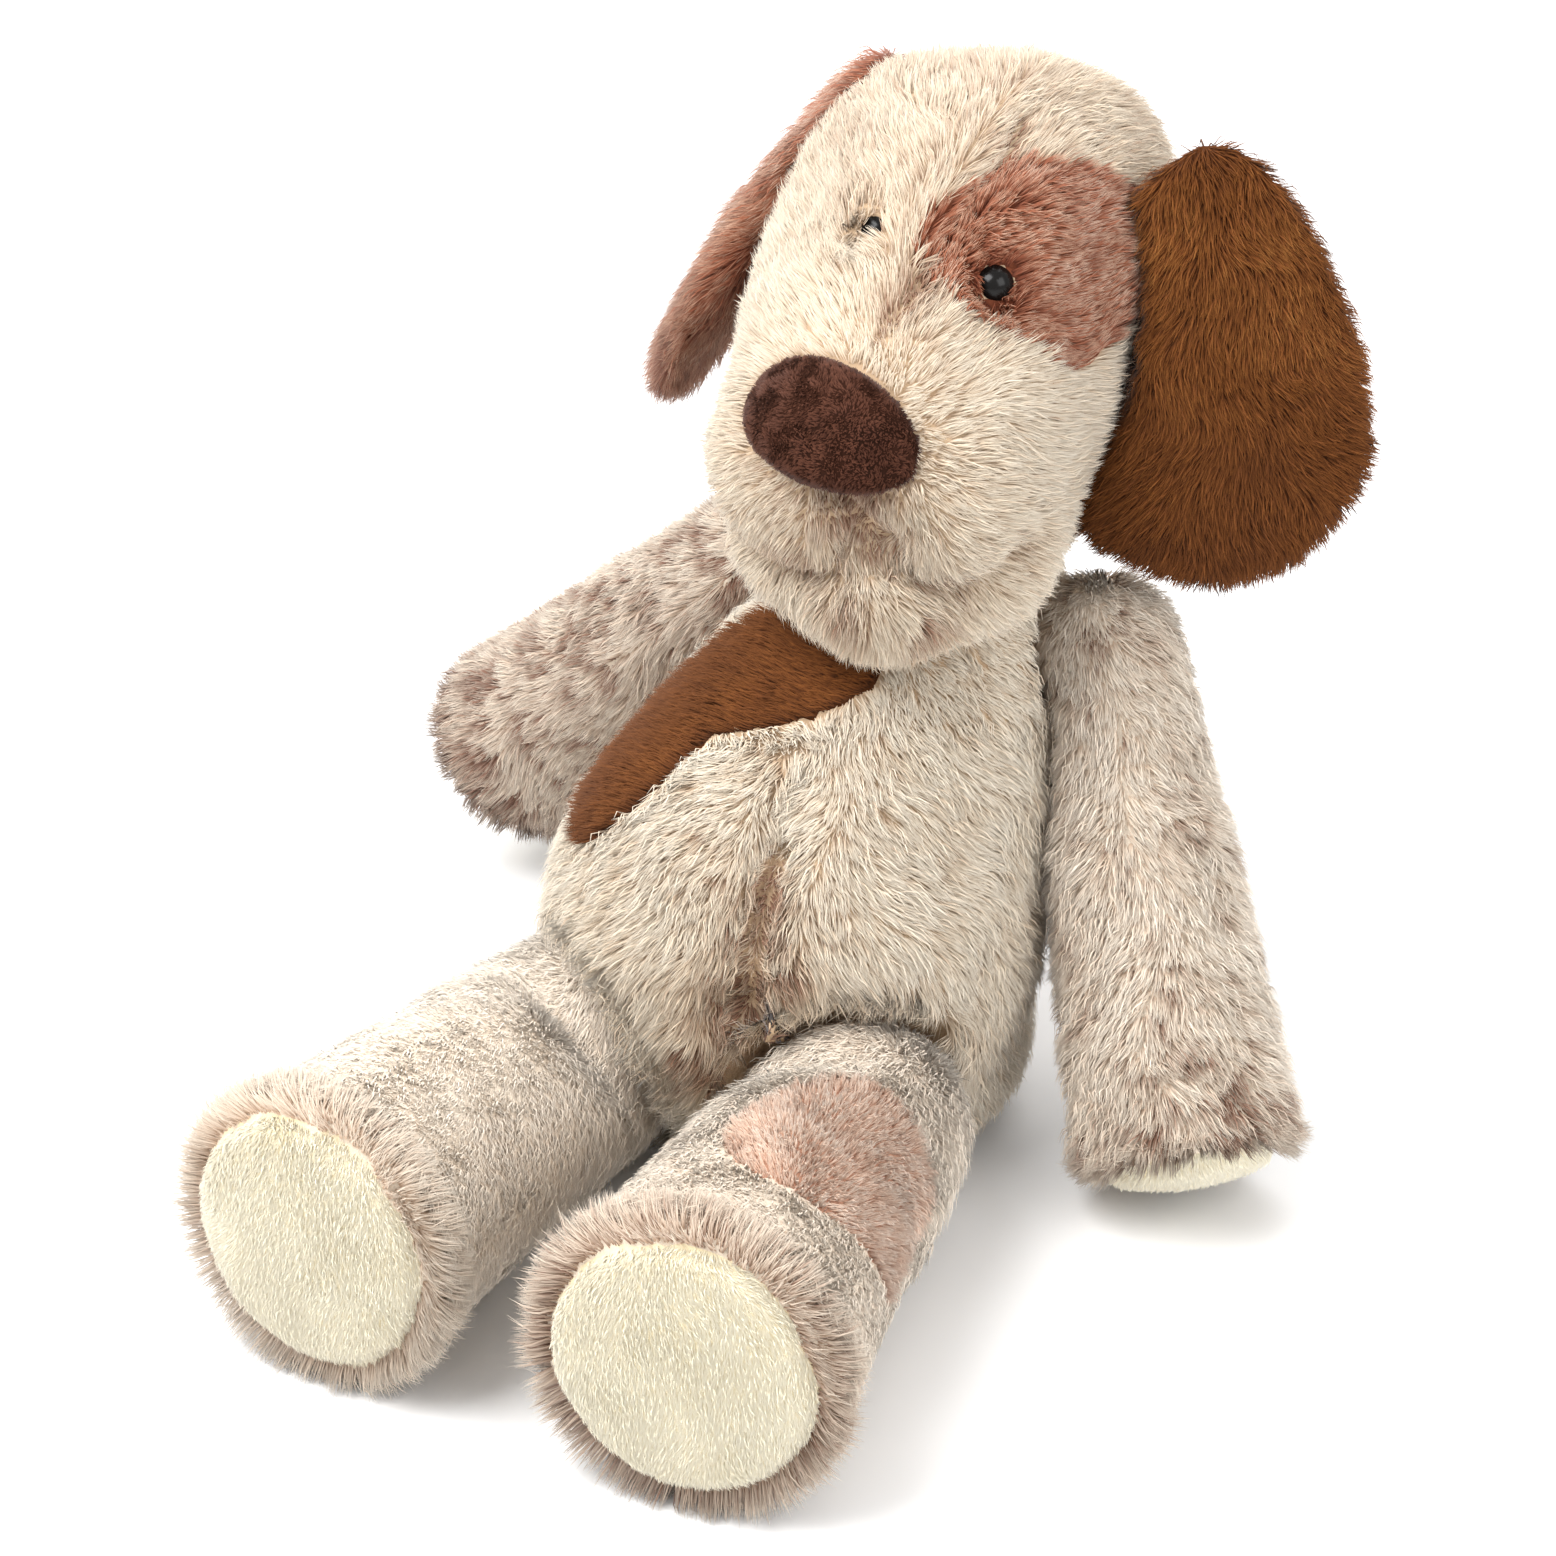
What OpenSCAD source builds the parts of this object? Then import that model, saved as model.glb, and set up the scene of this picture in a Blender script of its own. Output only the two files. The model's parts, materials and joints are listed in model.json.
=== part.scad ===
// Sitting plush dog: sewn pile-fabric covers over fibre stuffing, with pellets in the seat and feet.
// Origin: centre of the flat seat. +Z up, -Y is where the dog looks, +X is the dog's left.

/* [Fabric] */
// Thickness of the pile fabric, backing and packed pile together
fabric_t = 3; // [2.5:0.25:3.5]
// Gap between a cover and what it holds
lining_gap = 0.4; // [0.3:0.1:0.6]
// Gap between a sewn-in patch and the cover round it
seam_gap = 0.25; // [0.2:0.05:0.3]

/* [Torso] */
// Radius of the belly
belly_r = 59; // [58:0.5:60]
// Height of the belly's centre over the floor
belly_z = 52; // [51.5:0.25:52.5]
// Radius of the seat, where the torso sags onto the floor
seat_r = 53; // [52:0.5:54]
// Radius of the chest
chest_r = 36; // [35.5:0.25:36.5]

/* [Head] */
// Radius of the cranium
cranium_r = 44; // [43.5:0.25:44.5]
// Radius of the muzzle
muzzle_r = 39; // [38.5:0.25:39.5]
// Radius of the jaw, behind the muzzle
jaw_r = 37; // [36:0.25:37]
// Radius of an eye bead
eye_r = 4.5; // [4:0.25:5]

/* [Ears] */
// Length of an ear from root to tip
ear_l = 104; // [100:1:106]
// Width of an ear
ear_w = 68; // [64:1:70]
// Thickness of an ear at its middle
ear_t = 12; // [11:0.5:12.5]

/* [Arms] */
// Length of an arm from the shoulder's centre to the paw's end
arm_l = 127; // [125:0.5:128]
// Radius of the shoulder end
shoulder_r = 19; // [18.5:0.25:19.25]
// Radius of the paw end
paw_r = 26.5; // [26:0.25:27]

/* [Legs] */
// Length of a leg from the hip's centre to the sole
leg_l = 108; // [106:0.5:109]
// Radius of the hip end
hip_r = 27.5; // [27:0.25:27.75]
// Radius of the foot end
foot_r = 35.5; // [35:0.25:36]

/* [Tail] */
// Length of the tail from the centre of its root
tail_l = 44; // [40:1:48]
// Radius of the tail's root
tail_r = 11; // [10.5:0.25:11.25]

/* [Hidden] */
$fn = 64;

// Clearance between a ball end and its socket, and round everything else that moves
socket_gap = 1.0;
swing_gap = 1.2;
// How far outside a ball end its limb is left uncut
ball_keep = 0.3;
arc_steps = 10;
fill_t = fabric_t + lining_gap;
far = 400;

belly_c = [0, 8, belly_z];
chest_c = [13, 53, 112];
seat_c = [2, 14, 0];
seat_edge_r = 23;
cranium_c = [15, 76, 202.5];
muzzle_c = [17, 26, 167];
jaw_c = [15, 60, 163];

// Joint centres, and the way each limb points
neck_c = chest_c;
left_shoulder = [54, 62, 115];
left_arm_dir = [0.41, -0.44, -0.80];
right_shoulder = [-37, 67, 115];
right_arm_dir = [-0.70, 0.14, -0.70];
left_hip = [38, -35, 30];
left_leg_dir = [0.12, -0.99, 0.06];
right_hip = [-35, -34, 30];
right_leg_dir = [-0.08, -0.99, 0.06];
tail_root = [-4, 67, 33];
tail_dir = [-0.12, 0.97, -0.12];

// Joint axes, and the angles that a cover is cut clear for
lift_cuts = [0, 15, 30];
nod_cuts = [-8, 2, 12];
arm_cuts = [0, 20, 40];
left_arm_axis = [left_arm_dir.y, -left_arm_dir.x, 0];
right_arm_axis = [right_arm_dir.y, -right_arm_dir.x, 0];
leg_axis = [-1, 0, 0];
neck_axis = [1, 0, 0];

paw_edge_r = 10;
foot_edge_r = 9;
pad_edge = 1.5;

eye_left_dir = [0.504, -0.552, 0.664];
eye_right_dir = [-0.112, -0.643, 0.758];
eye_left_at = [37.0, 30.1, 214.0];
eye_right_at = [11.1, 29.8, 220.8];
shank_r = 1.6;
shank_l = 11;
washer_r = 6.5;
washer_t = 1.6;

nose_dir = [-0.08, -0.79, 0.61];
nose_half = [22, 13.5];
nose_roll = -10;
nose_dome_r = 25;

// Left ear: a plate beside the head. Right ear: a plate that lies against the head's side.
left_ear_c = [74.5, 69, 189];
left_ear_turn = [78, 0, 20];
left_ear_roll = 3;
right_ear_c = [-43.2, 84.4, 196.8];
right_ear_out = [-0.847, -0.110, 0.520];
right_ear_spin = 90;

function arc(c, r, a0, a1) =
    [for (i = [0:arc_steps]) c + r * [cos(a0 + (a1 - a0) * i / arc_steps), sin(a0 + (a1 - a0) * i / arc_steps)]];

// Half outline of two balls on one axis with the cone that touches both, t inside its surface
function pear_outline(r0, r1, d, t) =
    let (lean = asin((r0 - r1) / d))
    concat(arc([0, 0], r0 - t, -90, lean), arc([0, d], r1 - t, lean, 90));

// Half outline of a limb: a ball end, a cone, and a flat end with a rounded edge
function limb_outline(r0, r1, edge_r, l, t) =
    let (rim = [r1 - edge_r, l - edge_r])
    let (lean = atan2(rim.y, rim.x) - acos((r0 - edge_r) / norm(rim)))
    concat(arc([0, 0], r0 - t, -90, lean), arc(rim, edge_r - t, lean, 90), [[0, l - t]]);

// Local +Z turned to the direction v
module toward(v) {
    rotate([0, acos(v.z / norm(v)), atan2(v.y, v.x)]) children();
}

// Everything turned by a degrees about the axis v through p
module turned(p, v, a) {
    translate(p) rotate(a, v) translate(-p) children();
}

module pear(p0, r0, p1, r1, t) {
    translate(p0) toward(p1 - p0) rotate_extrude()
        polygon(pear_outline(r0, r1, norm(p1 - p0), t));
}

// The cone between belly and chest, grown by g
module waist_cone(g) {
    d = norm(chest_c - belly_c);
    lean = asin((belly_r - chest_r) / d);
    z0 = (belly_r + g) * sin(lean);
    z1 = d + (chest_r + g) * sin(lean);
    translate(belly_c) toward(chest_c - belly_c) translate([0, 0, z0])
        cylinder(h = z1 - z0, r1 = (belly_r + g) * cos(lean), r2 = (chest_r + g) * cos(lean));
}

module limb(r0, r1, edge_r, l, t) {
    rotate_extrude() polygon(limb_outline(r0, r1, edge_r, l, t));
}

// ---- Torso ----

module torso_body(t) {
    intersection() {
        union() {
            pear(belly_c, belly_r, chest_c, chest_r, t);
            translate(seat_c) rotate_extrude() polygon(concat([[0, t]],
                arc([seat_r - seat_edge_r, seat_edge_r], seat_edge_r - t, -90, 90), [[0, 2 * seat_edge_r - t]]));
        }
        translate([-far / 2, -far / 2, t]) cube(far);
    }
}

// The torso, with a socket for each ball end
module torso_form(t) {
    difference() {
        torso_body(t);
        for (p = [left_hip, right_hip]) translate(p) sphere(hip_r + socket_gap + t);
        for (p = [left_shoulder, right_shoulder]) translate(p) sphere(shoulder_r + socket_gap + t);
        translate(tail_root) sphere(tail_r + socket_gap + t);
    }
}

// Band across the right of the chest, seen from the front: its upper and its lower edge
band_top = [[-62, 116], [-34, 121], [-12, 132], [17, 144]];
band_bottom = [[17, 122], [10, 118], [-14, 110], [-26, 95], [-38, 83], [-47, 83], [-62, 92]];

module chest_band(inset) {
    translate([0, 20, 0]) rotate([90, 0, 0]) linear_extrude(90) polygon(concat(
        [for (p = band_top) p - 1.6 * [0, inset]], [for (p = band_bottom) p + 1.6 * [-inset * 0.5, inset]]));
}

module torso_cover() {
    color([0.85, 0.79, 0.72]) difference() {
        torso_form(0);
        torso_form(fabric_t);
        chest_band(0);
    }
}

module chest_patch() {
    color([0.50, 0.30, 0.17]) intersection() {
        difference() {
            torso_form(0);
            torso_form(fabric_t);
        }
        chest_band(seam_gap);
    }
}

bag_r = 24;
bag_h = 20;

// The hollow that the pellet bag lies in, open at the bottom
module bag_pocket() {
    edge_r = bag_h / 2;
    translate([belly_c.x, belly_c.y, fill_t + edge_r]) rotate_extrude()
        polygon(concat([[0, -edge_r - 2], [bag_r + lining_gap, -edge_r - 2]],
            arc([bag_r - edge_r, 0], edge_r + lining_gap, 0, 90), [[0, edge_r + lining_gap]]));
}

module torso_stuffing() {
    color([0.95, 0.95, 0.93]) difference() {
        torso_form(fill_t);
        bag_pocket();
    }
}

module seat_pellet_bag() {
    edge_r = bag_h / 2;
    color([0.80, 0.80, 0.76]) translate([belly_c.x, belly_c.y, fill_t + edge_r]) rotate_extrude()
        polygon(concat([[0, -edge_r]], arc([bag_r - edge_r, 0], edge_r, -90, 90), [[0, edge_r]]));
}

// ---- Head ----

module head_form(t) {
    difference() {
        union() {
            pear(cranium_c, cranium_r, muzzle_c, muzzle_r, t);
            translate(jaw_c) sphere(jaw_r - t);
        }
        translate(neck_c) sphere(chest_r + swing_gap + t);
        for (a = nod_cuts) turned(neck_c, neck_axis, -a) waist_cone(swing_gap - 0.2 + t);
    }
}

module at_eye(side) {
    p = side == "left" ? eye_left_at : eye_right_at;
    v = side == "left" ? eye_left_dir : eye_right_dir;
    translate(p) toward(v) children();
}

// Outline of the patch round the left eye, as seen by someone facing it
eye_patch_points = [[-22, -19], [-22.5, -2], [-16.5, 11], [-9, 19.5], [3.5, 23.5], [16.5, 14], [16, -6],
    [4, -14.5], [-5, -17.5], [-16, -23]];

// A smooth closed curve through the points p, with k places for each
function smooth_ring(p, k) = [for (i = [0:len(p) - 1]) for (j = [0:k - 1])
    let (n = len(p), a = p[(i + n - 1) % n], b = p[i], c = p[(i + 1) % n], d = p[(i + 2) % n], t = j / k)
    0.5 * (2 * b + (c - a) * t + (2 * a - 5 * b + 4 * c - d) * t * t + (3 * b - a - 3 * c + d) * t * t * t)];

// That outline pushed straight through the head's front
module eye_patch_block(grow) {
    translate([49, 41, 213]) toward([0.60, -0.78, 0.15]) rotate(28) translate([0, 0, -28])
        linear_extrude(60) polygon(smooth_ring(eye_patch_points * (1 + grow / 19), 3));
}

module head_cover() {
    color([0.88, 0.83, 0.77]) difference() {
        head_form(0);
        head_form(fabric_t);
        eye_patch_block(0);
        at_eye("right") cylinder(h = 20, r = shank_r + 0.2, center = true);
    }
}

module eye_patch() {
    color([0.62, 0.42, 0.36]) difference() {
        intersection() {
            difference() {
                head_form(0);
                head_form(fabric_t);
            }
            eye_patch_block(-seam_gap);
        }
        at_eye("left") cylinder(h = 20, r = shank_r + 0.2, center = true);
    }
}

module head_stuffing() {
    color([0.95, 0.95, 0.93]) difference() {
        head_form(fill_t);
        for (side = ["left", "right"])
            at_eye(side) translate([0, 0, -14]) cylinder(h = 20, r = washer_r + lining_gap);
    }
}

module eye(side) {
    color([0.04, 0.04, 0.04]) at_eye(side) union() {
        translate([0, 0, eye_r * 0.5 + 1.3]) difference() {
            sphere(eye_r);
            translate([-10, -10, -20 - eye_r * 0.5]) cube(20);
        }
        translate([0, 0, -shank_l + 2]) cylinder(h = shank_l, r = shank_r);
    }
}

module left_eye() eye("left");
module right_eye() eye("right");

module washer(side) {
    color([0.9, 0.9, 0.88]) at_eye(side) translate([0, 0, -8.4]) difference() {
        cylinder(h = washer_t, r = washer_r);
        translate([0, 0, -1]) cylinder(h = washer_t + 2, r = shank_r + 0.05);
    }
}

module left_eye_washer() washer("left");
module right_eye_washer() washer("right");

// Padded nose: an oval cushion that sits on the muzzle
module nose() {
    color([0.20, 0.11, 0.08]) difference() {
        intersection() {
            translate(muzzle_c) toward(nose_dir) rotate(nose_roll)
                linear_extrude(muzzle_r + 20) polygon([for (a = [0:12:348])
                    [nose_half.y * cos(a), nose_half.x * sin(a)]]);
            translate(muzzle_c + (muzzle_r + 8 - nose_dome_r) * nose_dir / norm(nose_dir)) sphere(nose_dome_r);
        }
        pear(cranium_c, cranium_r, muzzle_c, muzzle_r, -0.15);
    }
}

// Arc of thread over the muzzle from the direction a to the direction b
module thread(a, b) {
    n = cross(a, b);
    tilt = acos(n.z / norm(n));
    turn = atan2(n.y, n.x);
    x_axis = [cos(tilt) * cos(turn), cos(tilt) * sin(turn), -sin(tilt)];
    y_axis = [-sin(turn), cos(turn), 0];
    translate(muzzle_c) toward(n) rotate(atan2(a * y_axis, a * x_axis))
        rotate_extrude(angle = acos(a * b / norm(a) / norm(b)))
            translate([muzzle_r + thread_r + 0.1, 0]) circle(thread_r, $fn = 16);
}

thread_r = 0.7;
mouth_points = [[0, -37, 10], [11, -37, -4], [35, -15, -8]];

// Thread line under the nose, and the line of the smile to the left
module mouth_seam() {
    color([0.45, 0.33, 0.27]) {
        thread(mouth_points[0], mouth_points[1] + [-0.8, 0, 0.8]);
        thread(mouth_points[1] + [0.6, 0, 0], mouth_points[2]);
    }
}

// ---- Ears ----

// Egg-shaped plate, thick in the middle, that hangs from y = +ear_l / 2. side is +1 in front, -1 behind.
module ear_panel(side) {
    dome_r = (pow(ear_l / 2, 2) + pow(ear_t / 2 - 1.5, 2)) / (ear_t - 3);
    seam = 0.15;
    intersection() {
        translate([0, 0, side > 0 ? seam : -ear_t / 2 - 1]) linear_extrude(ear_t / 2 + 1 - seam)
            polygon([for (a = [0:10:350])
                [ear_w / 2 * sin(a) * (1 - 0.34 * cos(a)), ear_l / 2 * cos(a)]]);
        translate([0, 0, side * (ear_t / 2 - dome_r)]) sphere(dome_r, $fn = 360);
    }
}

module left_ear_panel(side) {
    difference() {
        translate(left_ear_c) rotate(left_ear_turn) rotate(left_ear_roll) ear_panel(side);
        pear(cranium_c, cranium_r, muzzle_c, muzzle_r, -swing_gap);
        translate(jaw_c) sphere(jaw_r + swing_gap);
    }
}

module right_ear_panel(side) {
    difference() {
        translate(right_ear_c) toward(right_ear_out) rotate(right_ear_spin) ear_panel(side);
        pear(cranium_c, cranium_r, muzzle_c, muzzle_r, -swing_gap);
        translate(jaw_c) sphere(jaw_r + swing_gap);
    }
}

module left_ear_front() { color([0.52, 0.31, 0.17]) left_ear_panel(1); }
module left_ear_back() { color([0.46, 0.27, 0.15]) left_ear_panel(-1); }
module right_ear_front() { color([0.60, 0.38, 0.30]) right_ear_panel(1); }
module right_ear_back() { color([0.54, 0.33, 0.26]) right_ear_panel(-1); }

// ---- Arms ----

// What an arm is cut clear of: the torso, at several angles of the lift
module arm_cut(p, axis, t) {
    difference() {
        for (a = arm_cuts) turned(p, axis, -a) pear(belly_c, belly_r, chest_c, chest_r, -swing_gap - t);
        translate(p) sphere(shoulder_r + ball_keep - t);
    }
}

module arm_form(p, v, axis, t) {
    difference() {
        translate(p) toward(v) limb(shoulder_r, paw_r, paw_edge_r, arm_l, t);
        arm_cut(p, axis, t);
    }
}

// Disc at the flat end of a limb of length l
module end_disc(p, v, l, r, t0, t1) {
    translate(p) toward(v) translate([0, 0, l - t1]) cylinder(h = t1 - t0, r = r);
}

pad_r = paw_r - paw_edge_r - pad_edge;
sole_r = foot_r - foot_edge_r - pad_edge + 2.5;

module arm_cover(p, v, axis) {
    color([0.78, 0.71, 0.64]) difference() {
        arm_form(p, v, axis, 0);
        arm_form(p, v, axis, fabric_t);
        end_disc(p, v, arm_l, pad_r + seam_gap, -1, fabric_t + 1);
    }
}

module left_arm_cover() arm_cover(left_shoulder, left_arm_dir, left_arm_axis);
module right_arm_cover() arm_cover(right_shoulder, right_arm_dir, right_arm_axis);
module left_arm_stuffing() color([0.95, 0.95, 0.93]) arm_form(left_shoulder, left_arm_dir, left_arm_axis, fill_t);
module right_arm_stuffing() color([0.95, 0.95, 0.93]) arm_form(right_shoulder, right_arm_dir, right_arm_axis, fill_t);
module left_paw_pad() color([0.93, 0.89, 0.76]) end_disc(left_shoulder, left_arm_dir, arm_l, pad_r, 0, fabric_t);
module right_paw_pad() color([0.93, 0.89, 0.76]) end_disc(right_shoulder, right_arm_dir, arm_l, pad_r, 0, fabric_t);

// ---- Legs ----

// What a leg is cut clear of: the belly, at several angles of the lift
module leg_cut(p, t) {
    difference() {
        for (a = lift_cuts) turned(p, leg_axis, -a) translate(belly_c) sphere(belly_r + swing_gap + t);
        translate(p) sphere(hip_r + ball_keep - t);
    }
}

module leg_form(p, v, t) {
    difference() {
        translate(p) toward(v) limb(hip_r, foot_r, foot_edge_r, leg_l, t);
        leg_cut(p, t);
    }
}

module leg_shell(p, v) {
    difference() {
        leg_form(p, v, 0);
        leg_form(p, v, fabric_t);
        end_disc(p, v, leg_l, sole_r + seam_gap, -1, fabric_t + 1);
    }
}

// Outline of the patch on top of the left thigh, pushed down through the cover
module thigh_patch_block(grow) {
    half = [21, 27];
    translate([57, -78, 34]) linear_extrude(60) polygon([for (a = [0:15:345])
        [(half.x + grow) * cos(a), (half.y + grow) * sin(a)] * (1 + 0.06 * cos(3 * a + 60))]);
}

module left_leg_cover() {
    color([0.80, 0.74, 0.68]) difference() {
        leg_shell(left_hip, left_leg_dir);
        thigh_patch_block(0);
    }
}

module left_leg_patch() {
    color([0.78, 0.62, 0.56]) intersection() {
        leg_shell(left_hip, left_leg_dir);
        thigh_patch_block(-seam_gap);
    }
}

module right_leg_cover() color([0.80, 0.74, 0.68]) leg_shell(right_hip, right_leg_dir);

pellets_r = 22;

module foot_pellets_form(p, v, grow) {
    translate(p + (leg_l - fill_t - pellets_r - 2) * v / norm(v)) sphere(pellets_r + grow);
}

module leg_stuffing(p, v) {
    color([0.95, 0.95, 0.93]) difference() {
        leg_form(p, v, fill_t);
        foot_pellets_form(p, v, lining_gap);
    }
}

module left_leg_stuffing() leg_stuffing(left_hip, left_leg_dir);
module right_leg_stuffing() leg_stuffing(right_hip, right_leg_dir);
module left_foot_pellets() color([0.80, 0.80, 0.76]) foot_pellets_form(left_hip, left_leg_dir, 0);
module right_foot_pellets() color([0.80, 0.80, 0.76]) foot_pellets_form(right_hip, right_leg_dir, 0);
module left_sole_pad() color([0.93, 0.89, 0.76]) end_disc(left_hip, left_leg_dir, leg_l, sole_r, 0, fabric_t);
module right_sole_pad() color([0.93, 0.89, 0.76]) end_disc(right_hip, right_leg_dir, leg_l, sole_r, 0, fabric_t);

// ---- Tail ----

tail_tip_r = 8;
tail_mouth_r = 5;

module tail_form(t) {
    pear(tail_root, tail_r, tail_root + (tail_l - tail_tip_r) * tail_dir, tail_tip_r, t);
}

// The cover is open at the root, where it is filled and sewn on
module tail_cover() {
    color([0.50, 0.30, 0.17]) difference() {
        tail_form(0);
        tail_form(fabric_t);
        translate(tail_root) toward(-tail_dir) cylinder(h = tail_r + 1, r = tail_mouth_r);
    }
}

module tail_stuffing() color([0.95, 0.95, 0.93]) tail_form(fill_t);

torso_cover();
chest_patch();
torso_stuffing();
seat_pellet_bag();
head_cover();
head_stuffing();
eye_patch();
nose();
mouth_seam();
left_eye();
right_eye();
left_eye_washer();
right_eye_washer();
left_ear_front();
left_ear_back();
right_ear_front();
right_ear_back();
left_arm_cover();
left_arm_stuffing();
left_paw_pad();
right_arm_cover();
right_arm_stuffing();
right_paw_pad();
left_leg_cover();
left_leg_patch();
left_leg_stuffing();
left_foot_pellets();
left_sole_pad();
right_leg_cover();
right_leg_stuffing();
right_foot_pellets();
right_sole_pad();
tail_cover();
tail_stuffing();
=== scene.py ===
"""A sitting plush dog: cloth-simulated skins over the CAD covers, and pile built strand by strand."""
import bpy
import json
import math
import numpy as np
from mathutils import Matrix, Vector
from mathutils.bvhtree import BVHTree
from mathutils.kdtree import KDTree


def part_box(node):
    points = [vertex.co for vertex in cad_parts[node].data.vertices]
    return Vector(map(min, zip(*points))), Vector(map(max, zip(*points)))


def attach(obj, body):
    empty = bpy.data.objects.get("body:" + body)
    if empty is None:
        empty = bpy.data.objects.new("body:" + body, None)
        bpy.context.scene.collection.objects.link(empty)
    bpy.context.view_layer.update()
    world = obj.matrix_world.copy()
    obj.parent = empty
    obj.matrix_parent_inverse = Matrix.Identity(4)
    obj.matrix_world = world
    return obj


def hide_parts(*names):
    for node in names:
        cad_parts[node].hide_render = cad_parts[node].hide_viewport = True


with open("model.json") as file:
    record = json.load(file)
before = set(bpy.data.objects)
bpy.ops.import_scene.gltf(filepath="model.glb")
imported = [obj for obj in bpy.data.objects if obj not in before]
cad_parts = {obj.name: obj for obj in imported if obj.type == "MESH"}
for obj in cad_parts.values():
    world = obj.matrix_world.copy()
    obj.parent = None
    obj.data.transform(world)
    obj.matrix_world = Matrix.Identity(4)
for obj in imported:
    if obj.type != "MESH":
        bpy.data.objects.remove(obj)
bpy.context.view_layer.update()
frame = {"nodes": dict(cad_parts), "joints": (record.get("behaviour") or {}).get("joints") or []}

MM = 0.001
SEED = 20
PILE_SHARE = 1.0

JOINTS = {j["name"]: j for j in frame["joints"]}


def joint_at(name):
    return np.array(JOINTS[name]["pos_m"])


def centre(node):
    lo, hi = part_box(node)
    return np.array([(a + b) / 2 for a, b in zip(lo, hi)])


def unit(v):
    v = np.asarray(v, float)
    return v / np.maximum(np.linalg.norm(v, axis=-1, keepdims=True), 1e-12)


def far_from(points, place):
    return np.linalg.norm(points - place, axis=1)


def linear(colour):
    """sRGB, as it is seen, to the linear values that a shader takes."""
    c = np.asarray(colour, float)
    return tuple(np.where(c <= 0.04045, c / 12.92, ((c + 0.055) / 1.055) ** 2.4)) + (1.0,)


# ---- Smooth noise ----

def lattice(i, j, k, seed):
    """One repeatable random number from 0 to 1 for each whole-numbered point."""
    h = (i * 73856093) ^ (j * 19349663) ^ (k * 83492791) ^ (seed * 2654435761)
    h = (h ^ (h >> 13)) * 1274126177 & 0xFFFFFFFF
    return ((h ^ (h >> 16)) & 0xFFFFFF) / float(0xFFFFFF)


def noise(points, size, seed):
    """Noise from -1 to 1 that changes over the distance size."""
    p = points / size + 1000.0
    cell = np.floor(p).astype(np.int64)
    f = p - cell
    f = f * f * (3 - 2 * f)
    total = 0.0
    for dx in (0, 1):
        for dy in (0, 1):
            for dz in (0, 1):
                weight = ((f[:, 0] if dx else 1 - f[:, 0]) * (f[:, 1] if dy else 1 - f[:, 1])
                          * (f[:, 2] if dz else 1 - f[:, 2]))
                total = total + weight * lattice(cell[:, 0] + dx, cell[:, 1] + dy, cell[:, 2] + dz, seed)
    return 2 * total - 1


def step(low, high, x):
    """0 below low, 1 above high, and smooth between them."""
    t = np.clip((x - low) / (high - low), 0, 1)
    return t * t * (3 - 2 * t)


# ---- Meshes ----

SKIN_HEIGHT = 0.6 * MM
CLOTH_FRAMES = 20


class Skin:
    """The fabric's surface as arrays, with how much and to which side the pile parts at each point."""

    def __init__(self, points, triangles):
        self.points = points
        self.triangles = triangles
        self.fold = np.zeros(len(points))
        self.aside = np.zeros_like(points)
        self.renew()

    def renew(self):
        a, b, c = (self.points[self.triangles[:, i]] for i in range(3))
        cross = np.cross(b - a, c - a)
        self.areas = np.linalg.norm(cross, axis=1) / 2
        normals = np.zeros_like(self.points)
        for i in range(3):
            np.add.at(normals, self.triangles[:, i], cross)
        self.normals = unit(normals)

    def move(self, offset):
        self.points = self.points + offset
        self.renew()

    def smooth(self, rounds, amount=0.5):
        edges = np.vstack([self.triangles[:, pair] for pair in ([0, 1], [1, 2], [2, 0])])
        count = np.bincount(edges.ravel(), minlength=len(self.points))[:, None]
        for _ in range(rounds):
            total = np.zeros_like(self.points)
            np.add.at(total, edges[:, 0], self.points[edges[:, 1]])
            np.add.at(total, edges[:, 1], self.points[edges[:, 0]])
            self.points = self.points + amount * (total / np.maximum(count, 1) - self.points)
        self.renew()

    def lift_off_floor(self):
        """Keep the underside high enough for the pile."""
        self.points[:, 2] = np.maximum(self.points[:, 2], SKIN_HEIGHT)
        self.renew()


def mesh_arrays(mesh):
    mesh.calc_loop_triangles()
    points = np.empty(len(mesh.vertices) * 3)
    mesh.vertices.foreach_get("co", points)
    triangles = np.empty(len(mesh.loop_triangles) * 3, np.int64)
    mesh.loop_triangles.foreach_get("vertices", triangles)
    return points.reshape(-1, 3), triangles.reshape(-1, 3)


def cad_arrays(node):
    return mesh_arrays(frame["nodes"][node].data)


def new_mesh(name, points, triangles, uv=None):
    mesh = bpy.data.meshes.new(name)
    mesh.vertices.add(len(points))
    mesh.vertices.foreach_set("co", points.astype(np.float32).ravel())
    mesh.loops.add(triangles.size)
    mesh.loops.foreach_set("vertex_index", triangles.astype(np.int32).ravel())
    mesh.polygons.add(len(triangles))
    mesh.polygons.foreach_set("loop_start", np.arange(0, triangles.size, 3, dtype=np.int32))
    mesh.update(calc_edges=True)
    mesh.shade_smooth()
    if uv is not None:
        layer = mesh.uv_layers.new(name="OFBake")
        layer.data.foreach_set("uv", uv.astype(np.float32).ravel())
    return mesh


def new_object(name, mesh, material=None):
    obj = bpy.data.objects.new(name, mesh)
    bpy.context.scene.collection.objects.link(obj)
    if material:
        mesh.materials.append(material)
    return obj


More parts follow.
